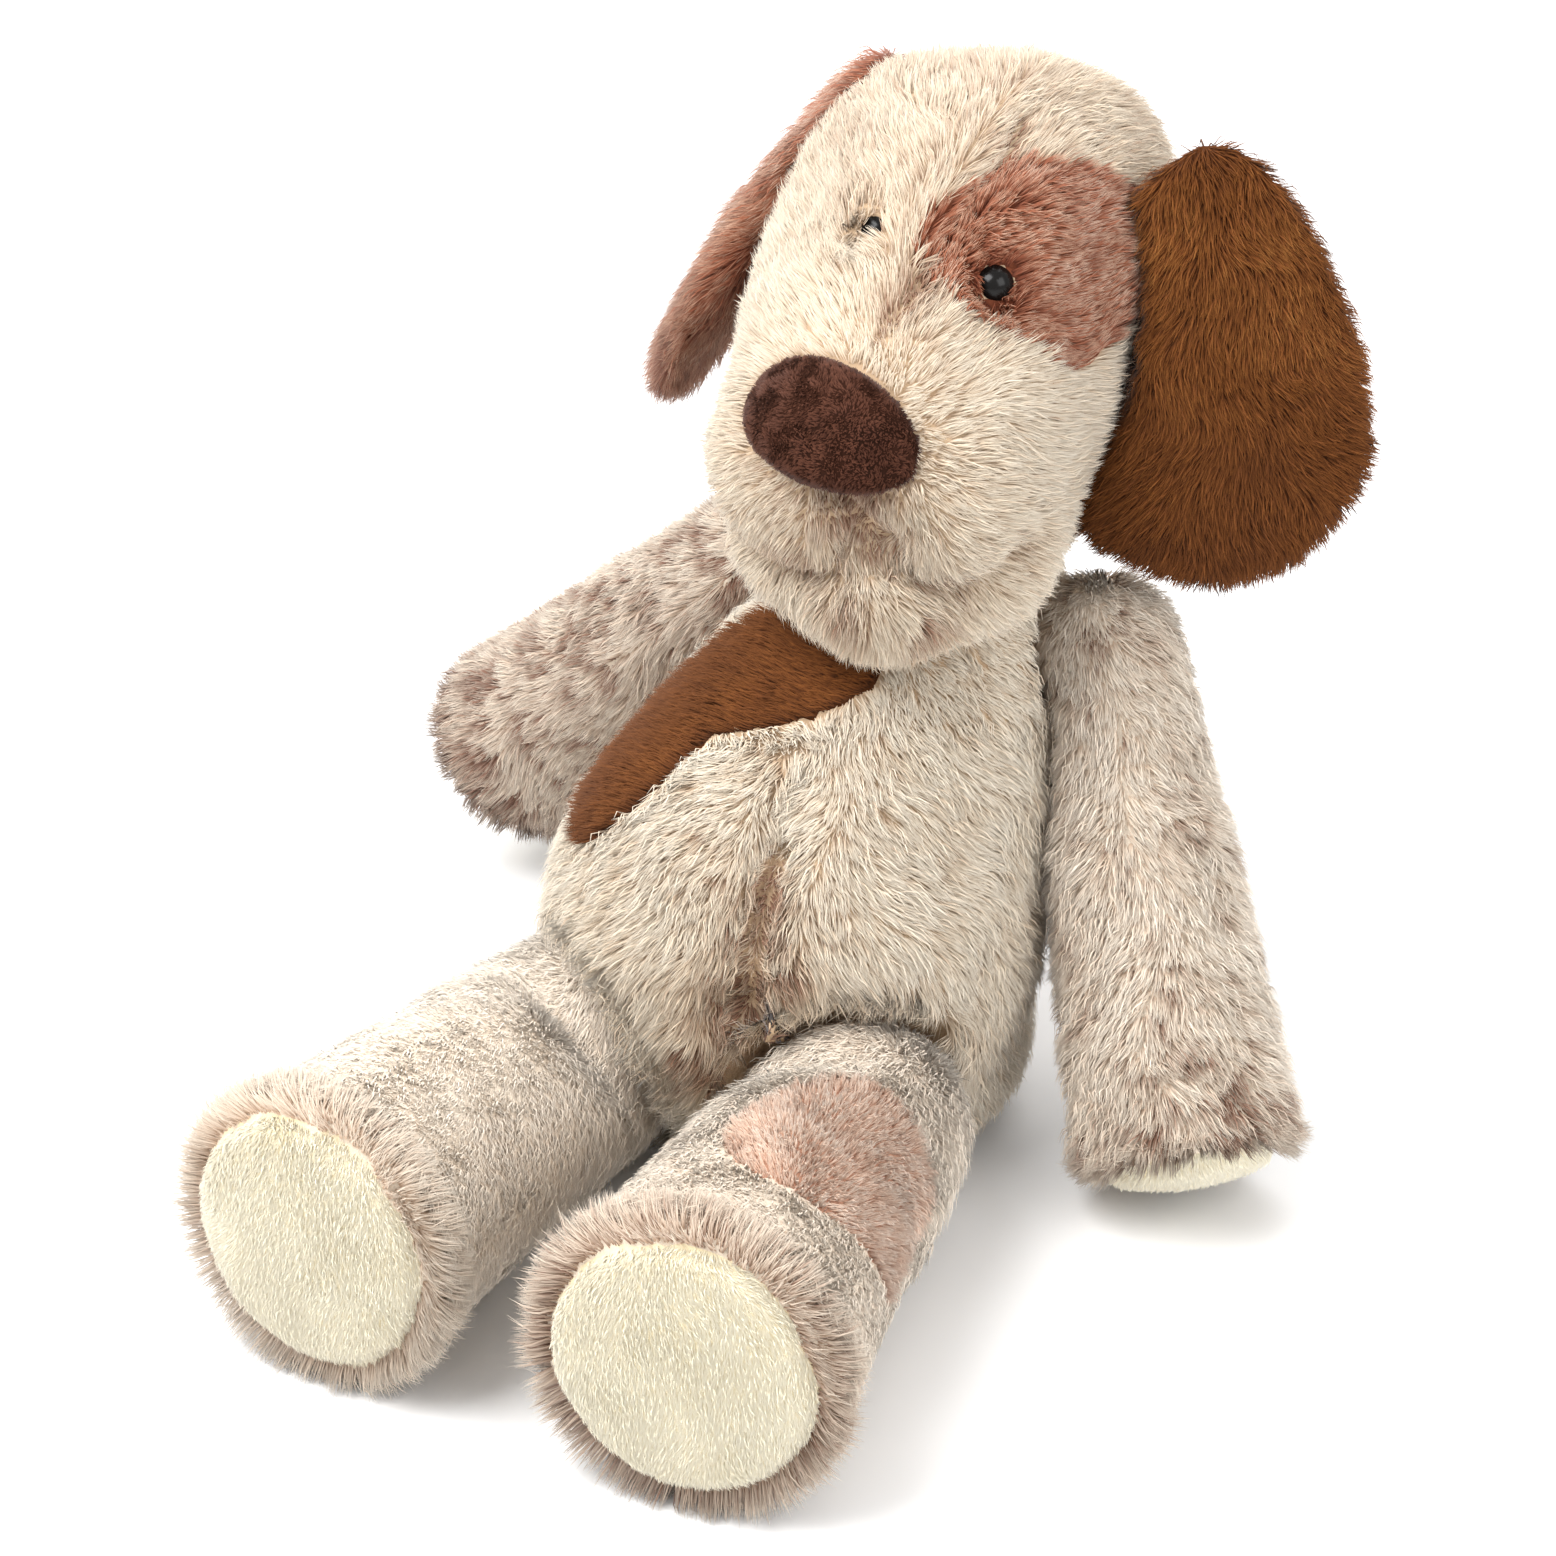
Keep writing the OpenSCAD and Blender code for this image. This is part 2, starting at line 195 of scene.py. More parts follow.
def result_of(scratch):
    """A scratch object's points and triangles with its modifiers. The object is removed."""
    graph = bpy.context.evaluated_depsgraph_get()
    result = bpy.data.meshes.new_from_object(scratch.evaluated_get(graph))
    arrays = mesh_arrays(result)
    bpy.data.objects.remove(scratch)
    bpy.data.meshes.remove(result)
    return arrays


def largest_part(points, triangles):
    """The connected part that reaches furthest: the outside, without the inner walls."""
    label = np.arange(len(points))
    while True:
        low = label[triangles].min(axis=1)
        new = label.copy()
        for i in range(3):
            np.minimum.at(new, triangles[:, i], low)
        new = new[new]
        if np.array_equal(new, label):
            break
        label = new
    names = np.unique(label)
    size = [np.ptp(points[label == n], axis=0).sum() for n in names]
    best = names[int(np.argmax(size))]
    keep = label == best
    number = np.cumsum(keep) - 1
    return points[keep], number[triangles[keep[triangles[:, 0]]]]


def remeshed(nodes, voxel):
    """The outer surface of some CAD nodes together, as even voxels give it."""
    parts = [cad_arrays(node) for node in nodes]
    starts = np.cumsum([0] + [len(p) for p, _ in parts[:-1]])
    points = np.vstack([p for p, _ in parts])
    triangles = np.vstack([t + s for (_, t), s in zip(parts, starts)])
    scratch = new_object("scratch", new_mesh("scratch", points, triangles))
    remesh = scratch.modifiers.new("remesh", "REMESH")
    remesh.mode = "VOXEL"
    remesh.voxel_size = voxel
    return Skin(*largest_part(*result_of(scratch)))


def puffed(skin, held, pressure, cap):
    """Cloth with air pressure inside it, pinned at the held points, moved by no more than cap."""
    scratch = new_object("scratch", new_mesh("scratch", skin.points, skin.triangles))
    group = scratch.vertex_groups.new(name="held")
    if held.any():
        group.add(np.flatnonzero(held).tolist(), 1.0, "REPLACE")
    cloth = scratch.modifiers.new("cloth", "CLOTH")
    for setting, value in {"quality": 4, "mass": 0.15, "tension_stiffness": 12,
                           "compression_stiffness": 12, "shear_stiffness": 6, "bending_stiffness": 0.4,
                           "use_pressure": True, "uniform_pressure_force": pressure,
                           "vertex_group_mass": "held"}.items():
        setattr(cloth.settings, setting, value)
    cloth.settings.effector_weights.gravity = 0
    cloth.collision_settings.use_collision = False
    scene = bpy.context.scene
    for number in range(1, CLOTH_FRAMES + 1):
        scene.frame_set(number)
    offset = result_of(scratch)[0] - skin.points
    scene.frame_set(1)
    far = np.linalg.norm(offset, axis=1, keepdims=True)
    skin.move(offset * np.minimum(1, cap / np.maximum(far, 1e-9)))
    return skin


def from_line(points, path):
    """Distance from a line of points, and the direction away from its nearest place."""
    best = np.full(len(points), 1.0)
    away_from = np.zeros_like(points)
    for a, b in zip(path, path[1:]):
        ab = b - a
        t = np.clip((points - a) @ ab / (ab @ ab), 0, 1)
        offset = points - a - t[:, None] * ab
        far = np.linalg.norm(offset, axis=1)
        nearer = far < best
        best[nearer] = far[nearer]
        away_from[nearer] = offset[nearer]
    return best, unit(away_from)


def crease(skin, path, depth, width, parting):
    """Sink the skin along a seam. The pile parts there, over the distance parting, and the parted strands
    are painted darker there as painted shade in the fold.
    """
    nearest = [int(np.argmin(((skin.points - p) ** 2).sum(axis=1))) for p in path]
    far, away_from = from_line(skin.points, skin.points[nearest])
    parted = np.exp(-(far / parting) ** 2)
    stronger = parted > skin.fold
    skin.aside[stronger] = away_from[stronger]
    skin.fold = np.maximum(skin.fold, parted)
    skin.move(-depth * np.exp(-(far / width) ** 2)[:, None] * skin.normals)


def swell(skin, middle, height, width):
    near = np.exp(-(far_from(skin.points, middle) / width) ** 2)
    skin.move(height * near[:, None] * skin.normals)


def round_cone(points, a, b, ra, rb):
    """Distance outside the form that two balls and the cone between them make."""
    ba = b - a
    length = ba @ ba
    rr = ra - rb
    slope = length - rr * rr
    pa = points - a
    y = pa @ ba
    z = y - length
    x2 = ((pa * length - y[:, None] * ba) ** 2).sum(axis=1)
    y2 = y * y * length
    z2 = z * z * length
    k = np.sign(rr) * rr * rr * x2
    side = (np.sqrt(x2 * slope / length) + y * rr) / length - ra
    top = np.sqrt(np.maximum(x2 + z2, 0)) / length - rb
    low = np.sqrt(np.maximum(x2 + y2, 0)) / length - ra
    return np.where(np.sign(z) * slope * z2 > k, top, np.where(np.sign(y) * slope * y2 < k, low, side))


class Near:
    """Distances to a CAD node's surface."""

    def __init__(self, node):
        points, triangles = cad_arrays(node)
        self.tree = BVHTree.FromPolygons([tuple(p) for p in points], [tuple(t) for t in triangles.tolist()])
        self.low, self.high = points.min(axis=0), points.max(axis=0)

    def within(self, points, reach):
        inside = np.all((points > self.low - reach) & (points < self.high + reach), axis=1)
        for i in np.flatnonzero(inside):
            inside[i] = self.tree.find_nearest(Vector(points[i]), reach)[0] is not None
        return inside

    def among(self, points, chosen, reach):
        """The chosen ones of the points that lie within reach."""
        found = np.zeros(len(points), bool)
        numbers = np.flatnonzero(chosen)
        found[numbers] = self.within(points[numbers], reach)
        return found


# ---- Materials ----

def put(node, values):
    for name, value in values.items():
        node.inputs[name].default_value = value


def ramp(tree, stops):
    node = tree.nodes.new("ShaderNodeValToRGB")
    elements = node.color_ramp.elements
    elements[0].position, elements[0].color = stops[0][0], linear(stops[0][1])
    elements[1].position, elements[1].color = stops[-1][0], linear(stops[-1][1])
    for place, colour in stops[1:-1]:
        elements.new(place).color = linear(colour)
    return node


def mix(tree, factor, first, second, blend="MIX"):
    node = tree.nodes.new("ShaderNodeMix")
    node.data_type = "RGBA"
    node.blend_type = blend
    tree.links.new(factor, node.inputs["Factor"])
    tree.links.new(first, node.inputs["A"])
    tree.links.new(second, node.inputs["B"])
    return node.outputs["Result"]


def between(tree, value, low, high):
    node = tree.nodes.new("ShaderNodeMapRange")
    node.interpolation_type = "SMOOTHSTEP"
    put(node, {"From Min": low, "From Max": high})
    tree.links.new(value, node.inputs["Value"])
    return node.outputs["Result"]


def blank(name, roughness):
    material = bpy.data.materials.new(name)
    material.use_nodes = True
    shader = material.node_tree.nodes["Principled BSDF"]
    put(shader, {"Roughness": roughness})
    return material, material.node_tree, shader


def coloured_by(tree, shader, kind, output, scale, stops):
    """Colour a shader from a texture through a ramp, and give back the texture."""
    texture = tree.nodes.new(kind)
    put(texture, {"Scale": scale})
    shade = ramp(tree, stops)
    tree.links.new(texture.outputs[output], shade.inputs["Fac"])
    tree.links.new(shade.outputs["Color"], shader.inputs["Base Color"])
    return texture


def pile_material(name, root, middle, tip, sheen, turn=(0.05, 0.5, 0.45, 1.0)):
    """Each strand's own shade runs along u, and its length from root to tip along v.

    turn says where along the length the root's colour gives way to the middle's, and that to the tip's.
    """
    material, tree, shader = blank(name, 0.8)
    put(shader, {"Specular IOR Level": 0.15, "Sheen Weight": sheen, "Sheen Roughness": 0.5})
    uv = tree.nodes.new("ShaderNodeUVMap")
    uv.uv_map = "OFBake"
    split = tree.nodes.new("ShaderNodeSeparateXYZ")
    tree.links.new(uv.outputs["UV"], split.inputs["Vector"])
    shades = []
    for stops in (root, middle, tip):
        node = ramp(tree, stops)
        tree.links.new(split.outputs["X"], node.inputs["Fac"])
        shades.append(node.outputs["Color"])
    lower = mix(tree, between(tree, split.outputs["Y"], turn[0], turn[1]), shades[0], shades[1])
    colour = mix(tree, between(tree, split.outputs["Y"], turn[2], turn[3]), lower, shades[2])
    tree.links.new(colour, shader.inputs["Base Color"])
    return material


def backing_material(name, dark, light):
    """The knitted fabric under the pile."""
    material, tree, shader = blank(name, 0.95)
    put(shader, {"Specular IOR Level": 0.1})
    where = tree.nodes.new("ShaderNodeTexCoord")
    patches = coloured_by(tree, shader, "ShaderNodeTexNoise", "Fac", 90, [(0.3, dark), (0.7, light)])
    put(patches, {"Detail": 6})
    tree.links.new(where.outputs["Object"], patches.inputs["Vector"])
    knit = tree.nodes.new("ShaderNodeTexNoise")
    put(knit, {"Scale": 900})
    tree.links.new(where.outputs["Object"], knit.inputs["Vector"])
    bump = tree.nodes.new("ShaderNodeBump")
    put(bump, {"Strength": 0.6, "Distance": 0.6 * MM})
    tree.links.new(knit.outputs["Fac"], bump.inputs["Height"])
    tree.links.new(bump.outputs["Normal"], shader.inputs["Normal"])
    return material


# The ramps for a strand's root, middle and tip run from its darkest shade to its lightest
CREAM = pile_material(
    "cream_pile",
    [(0.0, (0.40, 0.27, 0.20)), (0.45, (0.74, 0.62, 0.51)), (1.0, (0.88, 0.80, 0.70))],
    [(0.0, (0.56, 0.42, 0.34)), (0.4, (0.84, 0.76, 0.66)), (1.0, (0.92, 0.87, 0.79))],
    [(0.0, (0.78, 0.68, 0.59)), (0.4, (0.92, 0.87, 0.79)), (1.0, (0.955, 0.925, 0.87))], 0.15)
LIMB = pile_material(
    "limb_pile",
    [(0.0, (0.35, 0.23, 0.17)), (0.45, (0.72, 0.60, 0.50)),
     (0.7, (0.80, 0.69, 0.59)), (1.0, (0.94, 0.86, 0.76))],
    [(0.0, (0.52, 0.38, 0.31)), (0.4, (0.84, 0.76, 0.68)),
     (0.7, (0.88, 0.81, 0.73)), (1.0, (0.965, 0.91, 0.84))],
    [(0.0, (0.77, 0.68, 0.60)), (0.4, (0.92, 0.87, 0.80)),
     (0.7, (0.94, 0.90, 0.84)), (1.0, (0.98, 0.94, 0.885))], 0.2)
CARAMEL = pile_material(
    "caramel_pile",
    [(0.0, (0.19, 0.10, 0.045)), (1.0, (0.33, 0.18, 0.075))],
    [(0.0, (0.34, 0.185, 0.075)), (1.0, (0.49, 0.28, 0.12))],
    [(0.0, (0.43, 0.24, 0.10)), (0.6, (0.56, 0.34, 0.15)), (1.0, (0.72, 0.49, 0.26))], 0.08)
RUST = pile_material(
    "rust_pile",
    [(0.0, (0.27, 0.12, 0.07)), (1.0, (0.47, 0.25, 0.17))],
    [(0.0, (0.44, 0.22, 0.14)), (1.0, (0.68, 0.43, 0.32))],
    [(0.0, (0.66, 0.44, 0.33)), (0.5, (0.85, 0.69, 0.58)), (1.0, (0.97, 0.89, 0.81))], 0.2,
    (0.05, 0.45, 0.55, 1.0))
PINK = pile_material(
    "pink_short_pile",
    [(0.0, (0.68, 0.46, 0.36)), (1.0, (0.85, 0.69, 0.59))],
    [(0.0, (0.78, 0.57, 0.46)), (1.0, (0.94, 0.82, 0.73))],
    [(0.0, (0.82, 0.64, 0.53)), (0.5, (0.94, 0.83, 0.74)), (1.0, (0.99, 0.94, 0.89))], 0.2)
PAD = pile_material(
    "pad_pile",
    [(0.0, (0.94, 0.88, 0.74)), (1.0, (0.97, 0.92, 0.80))],
    [(0.0, (0.96, 0.91, 0.79)), (1.0, (0.98, 0.95, 0.85))],
    [(0.0, (0.975, 0.94, 0.84)), (1.0, (0.985, 0.965, 0.90))], 0.2)
FLEECE = pile_material(
    "nose_fleece",
    [(0.0, (0.14, 0.07, 0.045)), (1.0, (0.22, 0.12, 0.08))],
    [(0.0, (0.25, 0.13, 0.09)), (1.0, (0.34, 0.20, 0.14))],
    [(0.0, (0.32, 0.18, 0.12)), (1.0, (0.44, 0.27, 0.20))], 0.1)
CREAM_BACK = backing_material("cream_backing", (0.68, 0.57, 0.46), (0.82, 0.72, 0.60))
LIMB_BACK = backing_material("limb_backing", (0.84, 0.77, 0.69), (0.93, 0.88, 0.81))
BROWN_BACK = backing_material("brown_backing", (0.26, 0.14, 0.06), (0.34, 0.19, 0.09))
RUST_BACK = backing_material("rust_backing", (0.34, 0.17, 0.11), (0.48, 0.27, 0.19))
PINK_BACK = backing_material("pink_backing", (0.62, 0.45, 0.37), (0.76, 0.60, 0.51))
PAD_BACK = backing_material("pad_backing", (0.92, 0.86, 0.71), (0.96, 0.91, 0.79))
FLEECE_BACK = backing_material("fleece_backing", (0.15, 0.08, 0.05), (0.22, 0.12, 0.08))


# ---- Pile ----

SHADES = 64
# The side that is seen most, and what share of the pile grows on the side away from it
FACE_SIDE = unit([0.38, -0.75, 0.52])
BACK_SHARE = 0.5
# How deep a root lies in the skin, and the least heights of a strand's parts above the floor
ROOT_DEPTH = 0.5 * MM
ROOT_HEIGHT, TIP_HEIGHT, BEND_HEIGHT = 0.1 * MM, 0.25 * MM, 0.35 * MM
# The triangles of a straight strand, and of a bent one, which has a second ring half way up
STRAIGHT = np.array([[0, 1, 3], [1, 2, 3], [2, 0, 3], [0, 2, 1]])
BENT = np.array([[0, 1, 4], [0, 4, 3], [1, 2, 5], [1, 5, 4], [2, 0, 3], [2, 3, 5],
                 [3, 4, 6], [4, 5, 6], [5, 3, 6], [0, 2, 1]])


def scatter(skin, per_mm2, seed, keep):
    """Random places on the skin, thinner on the back and the underside, with what the skin holds there."""
    rng = np.random.default_rng(seed)
    total = skin.areas.sum()
    count = int(total / MM ** 2 * per_mm2 * PILE_SHARE)
    pick = np.searchsorted(np.cumsum(skin.areas), rng.random(count) * total)
    pick = np.minimum(pick, len(skin.areas) - 1)
    a, b = rng.random(count), rng.random(count)
    flip = a + b > 1
    a[flip], b[flip] = 1 - a[flip], 1 - b[flip]
    weights = np.stack([1 - a - b, a, b], axis=1)
    corners = skin.triangles[pick]

    def held(values):
        return (values[corners] * weights[:, :, None]).sum(axis=1)

    points, normals = held(skin.points), unit(held(skin.normals))
    share = BACK_SHARE + (1 - BACK_SHARE) * step(-0.35, 0.05, normals @ FACE_SIDE)
    kept = keep(points, normals) & (rng.random(count) < share)
    fold = held(skin.fold[:, None])[:, 0]
    return points[kept], normals[kept], fold[kept], held(skin.aside)[kept], share[kept], rng


def nearest_centres(points, centres):
    """For each point the number of the nearest centre."""
    tree = KDTree(len(centres))
    for i, c in enumerate(centres):
        tree.insert(Vector(c), i)
    tree.balance()
    return np.array([tree.find(Vector(p))[1] for p in points])


def strands(name, skin, keep, comb, material, per_mm2, length, width, rise=0.6, swirl=0.5, clump=0.35,
            tuft_mm=3.2, long_share=0.08, shade=None, length_at=None, lift_at=None, seed=1, tone_bias=0.0):
    """A mesh of closed, tapering strands, each rooted in the skin and combed along the comb's direction.

    rise is how steeply they stand, swirl how far they turn aside, and clump how far they lean into tufts.
    """
    points, normals, folded, aside, share, rng = scatter(skin, per_mm2, SEED + seed, keep)
    count = len(points)
    flow = unit(comb(points, normals))
    flow = flow * (1 - folded[:, None]) + folded[:, None] * aside
    flow = unit(flow - (flow * normals).sum(axis=1, keepdims=True) * normals)
    side = np.cross(normals, flow)
    turn = swirl * (0.9 * noise(points, 17 * MM, seed + 1) + 0.6 * noise(points, 7 * MM, seed + 2))
    turn = turn * (1 - 0.7 * folded) + 0.22 * rng.normal(size=count)
    flow = np.cos(turn)[:, None] * flow + np.sin(turn)[:, None] * side
    lift = rise + 0.20 * noise(points, 9 * MM, seed + 3) + 0.13 * rng.normal(size=count)
    if lift_at is not None:
        lift = lift + lift_at(points)
    lift = np.clip(lift, 0.12, 1.4)
    long = rng.random(count) < long_share
    reach = length * (0.72 + 0.42 * rng.random(count)) * np.where(long, 1.15, 1.0)
    if length_at is not None:
        reach = reach * length_at(points)
    reach = reach * (1 - 0.35 * folded)
    along = np.cos(lift)[:, None] * flow + np.sin(lift)[:, None] * normals
    steep = np.clip(lift + 0.38, 0, 1.45)
    start = np.cos(steep)[:, None] * flow + np.sin(steep)[:, None] * normals
    middles = points + 0.52 * reach[:, None] * start
    tips = middles + 0.50 * reach[:, None] * unit(along - 0.25 * normals)
    if clump:
        every = max(1, int(per_mm2 * PILE_SHARE * tuft_mm ** 2))
        chosen = np.arange(0, count, every)
        own = nearest_centres(points, points[chosen])
        target = tips[chosen][own]
        amount = clump * (0.6 + 0.8 * rng.random(count))[:, None]
        tips = tips + amount * (target - tips)
        middles = middles + 0.35 * amount * (middles[chosen][own] - middles)
    roots = points - ROOT_DEPTH * normals
    for places, lowest in ((tips, TIP_HEIGHT), (middles, BEND_HEIGHT), (roots, ROOT_HEIGHT)):
        places[:, 2] = np.maximum(places[:, 2], lowest)

    # Strands where the pile parts in a fold are painted darker: painted shade in the crease.
    tone = 0.55 + 0.11 * rng.normal(size=count) + tone_bias - 0.42 * folded
    tone = tone + (shade(points) if shade else 0.0)
    column = np.clip((tone * SHADES).astype(int), 0, SHADES - 1)

    wide = width / np.sqrt(share) * (0.75 + 0.5 * rng.random(count))
    across = unit(np.cross(along, normals))
    above = unit(np.cross(across, along))
    ring = [-0.5 * across, 0.5 * across, 0.55 * above]
    blocks, faces, levels, owners, shading = [], [], [], [], []
    first = 0
    for chosen, rings, walls in ((np.flatnonzero(~long), 1, STRAIGHT), (np.flatnonzero(long), 2, BENT)):
        rows = [roots[chosen] + wide[chosen, None] * r[chosen] for r in ring]
        if rings == 2:
            rows += [middles[chosen] + 0.72 * wide[chosen, None] * r[chosen] for r in ring]
        rows.append(tips[chosen])
        blocks.append(np.stack(rows, axis=1).reshape(-1, 3))
        base = first + len(rows) * np.arange(len(chosen))[:, None, None]
        faces.append((base + walls).reshape(-1, 3))
        first += len(blocks[-1])
        heights = np.repeat(np.arange(rings + 1) / rings, [3] * rings + [1])
        levels.append(np.tile(heights, len(chosen)))
        owners.append(np.repeat(chosen, len(rows)))
        # A strand is shaded mostly as the skin under it, so that the pile reads as one soft surface
        own = np.stack([2 * r[chosen] for r in ring * rings] + [2 * along[chosen]], 1)
        shading.append(unit(0.75 * normals[chosen, None] + 0.25 * own).reshape(-1, 3))

    triangles = np.vstack(faces)[:, ::-1]
    level = np.concatenate(levels)
    owner = np.concatenate(owners)
    loops = triangles.ravel()
    u = (column[owner[loops]] + 0.5) / SHADES
    u = u + np.tile([-0.3, 0.3, 0.0], len(triangles)) / SHADES
    v = 0.03 + 0.94 * level[loops]
    mesh = new_mesh(name, np.vstack(blocks), triangles, np.stack([u, v], axis=1))
    mesh.normals_split_custom_set_from_vertices(np.vstack(shading))
    return new_object(name, mesh, material)


def mottled(size, amount, seed, flecks=0.0):
    """Soft changes of shade over the distance size, and small dark flecks where the roots show."""
    def shade(points):
        soft = noise(points, size, seed) + 0.6 * noise(points, size / 2.3, seed + 5)
        small = noise(points, 5.0 * MM, seed + 9) + 0.8 * noise(points, 2.2 * MM, seed + 11)
        return amount * soft - flecks * step(0.05, 0.9, small + 0.6 * soft)
    return shade


def darker(places, amount, seed):
    """Darker places: the brown roots that show where the pile parts, and on the belly's and the mouth's
    folds also painted shade. Each is a point and how wide it is, both in mm.
    """
    def shade(points):
        ragged = 1 + 0.45 * noise(points, 6 * MM, seed)
        near = np.zeros(len(points))
        for middle, width in places:
            far = far_from(points, np.array(middle) * MM) * ragged
            near = np.maximum(near, np.exp(-(far / (width * MM)) ** 2))
        return -amount * near
    return shade


def place(piece, body, slot):
    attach(piece, body)
    return piece


def cover(name, skin, material, body, slot, nodes):
    """A skin as a padded piece that stands for its CAD nodes."""
    piece = new_object(name, new_mesh(name, skin.points, skin.triangles), material)
    place(piece, body, slot)
    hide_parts(*nodes)
    return piece


def back_with(piece, skin, material, chooser):
    """Another backing fabric on the part of a skin that the chooser picks."""
    piece.data.materials.append(material)
    middles = skin.points[skin.triangles].mean(axis=1)
    normals = unit(skin.normals[skin.triangles].mean(axis=1))
    index = np.zeros(len(piece.data.polygons), np.int32)
    piece.data.polygons.foreach_get("material_index", index)
    index[chooser(middles, normals)] = len(piece.data.materials) - 1
    piece.data.polygons.foreach_set("material_index", index)
    piece.data.update()


def made_skin(nodes, voxel, shrink, held=None, pressure=4.0, cap=1.6 * MM, rounds=4):
    """Outer surface of the nodes, drawn in, smoothed, then blown up like a filled cover."""
    skin = remeshed(nodes, voxel)
    skin.smooth(rounds)
    skin.move(-shrink * skin.normals)
    hold = held(skin.points, skin.normals) if held else np.zeros(len(skin.points), bool)
    puffed(skin, hold, pressure, cap)
    skin.smooth(1)
    return skin


# ---- Forms that the pile keeps out of ----

NECK = joint_at("neck_nod")
BELLY, BELLY_R, CHEST_R = np.array([0, 8, 52]) * MM, 59 * MM, 36 * MM
CRANIUM, CRANIUM_R = np.array([15, 76, 202.5]) * MM, 44 * MM
MUZZLE, MUZZLE_R = np.array([17, 26, 167]) * MM, 39 * MM
JAW, JAW_R = np.array([15, 60, 163]) * MM, 37 * MM
HIP_R, SHOULDER_R, TAIL_R = 27.5 * MM, 19 * MM, 11 * MM
SOCKETS = [(joint_at("left_hip_lift"), HIP_R), (joint_at("right_hip_lift"), HIP_R),
           (joint_at("left_shoulder_lift"), SHOULDER_R), (joint_at("right_shoulder_lift"), SHOULDER_R),
           (joint_at("tail_wag"), TAIL_R)]
SOCKET_WALL, SOCKET_GAP = 5 * MM, 0.4 * MM
# How far the skins are drawn in from the CAD covers, which have the pile's backing in them
BACKING = 1.7 * MM


def out_of_torso(points):
    return round_cone(points, BELLY, NECK, BELLY_R, CHEST_R)


def out_of_head(points):
    jaw = far_from(points, JAW) - JAW_R
    return np.minimum(round_cone(points, CRANIUM, MUZZLE, CRANIUM_R, MUZZLE_R), jaw)


def out_of_sockets(points, normals):
    """True where a place is not on the inside wall of a socket."""
    clear = np.ones(len(points), bool)
    for middle, radius in SOCKETS:
        inward = middle - points
        far = np.linalg.norm(inward, axis=1)
        facing = (inward * normals).sum(axis=1) > 0.7 * far
        clear &= ~((far < radius + SOCKET_WALL) & facing) & (far > radius + SOCKET_GAP)
    return clear


# ---- Torso ----

BELLY_SEAM = np.array([[17, -30, 100], [16, -43, 80], [16, -50, 62], [12, -48, 40], [8, -40, 22]]) * MM
BELLY_TUCK = np.array([[16, -50, 62], [26, -50, 52], [42, -42, 48], [56, -24, 44]]) * MM
# Places along the belly's seam and tuck that are painted darker: the brown roots that show in the puckers,
# and painted shade in those folds.
BELLY_MARKS = [((13, -37, 88), 10), ((18, -42, 78), 7), ((10, -47, 69), 8), ((14, -49, 57), 11),
               ((28, -50, 56), 10), ((40, -44, 54), 9), ((53, -30, 52), 9), ((24, -40, 70), 5),
               ((4, -44, 44), 8), ((60, -12, 50), 6)]
LIMB_ENDS = ["left_sole_pad", "right_sole_pad", "left_paw_pad", "right_paw_pad"]


def torso_comb(points, normals):
    """Down and outwards, and over the edge of each socket towards the limb's end."""
    down = np.array([0.15, -0.25, -1.0])
    out = (points - np.array([14, 10, 70]) * MM) * np.array([1, 0.2, 0.0]) / (40 * MM)
    flow = unit(down + 0.9 * out)
    for (middle, radius), end in zip(SOCKETS, LIMB_ENDS):
        near = step(radius + 12 * MM, radius + 3 * MM, far_from(points, middle))[:, None]
        flow = flow * (1 - near) + near * unit(centre(end) - middle)
    return flow


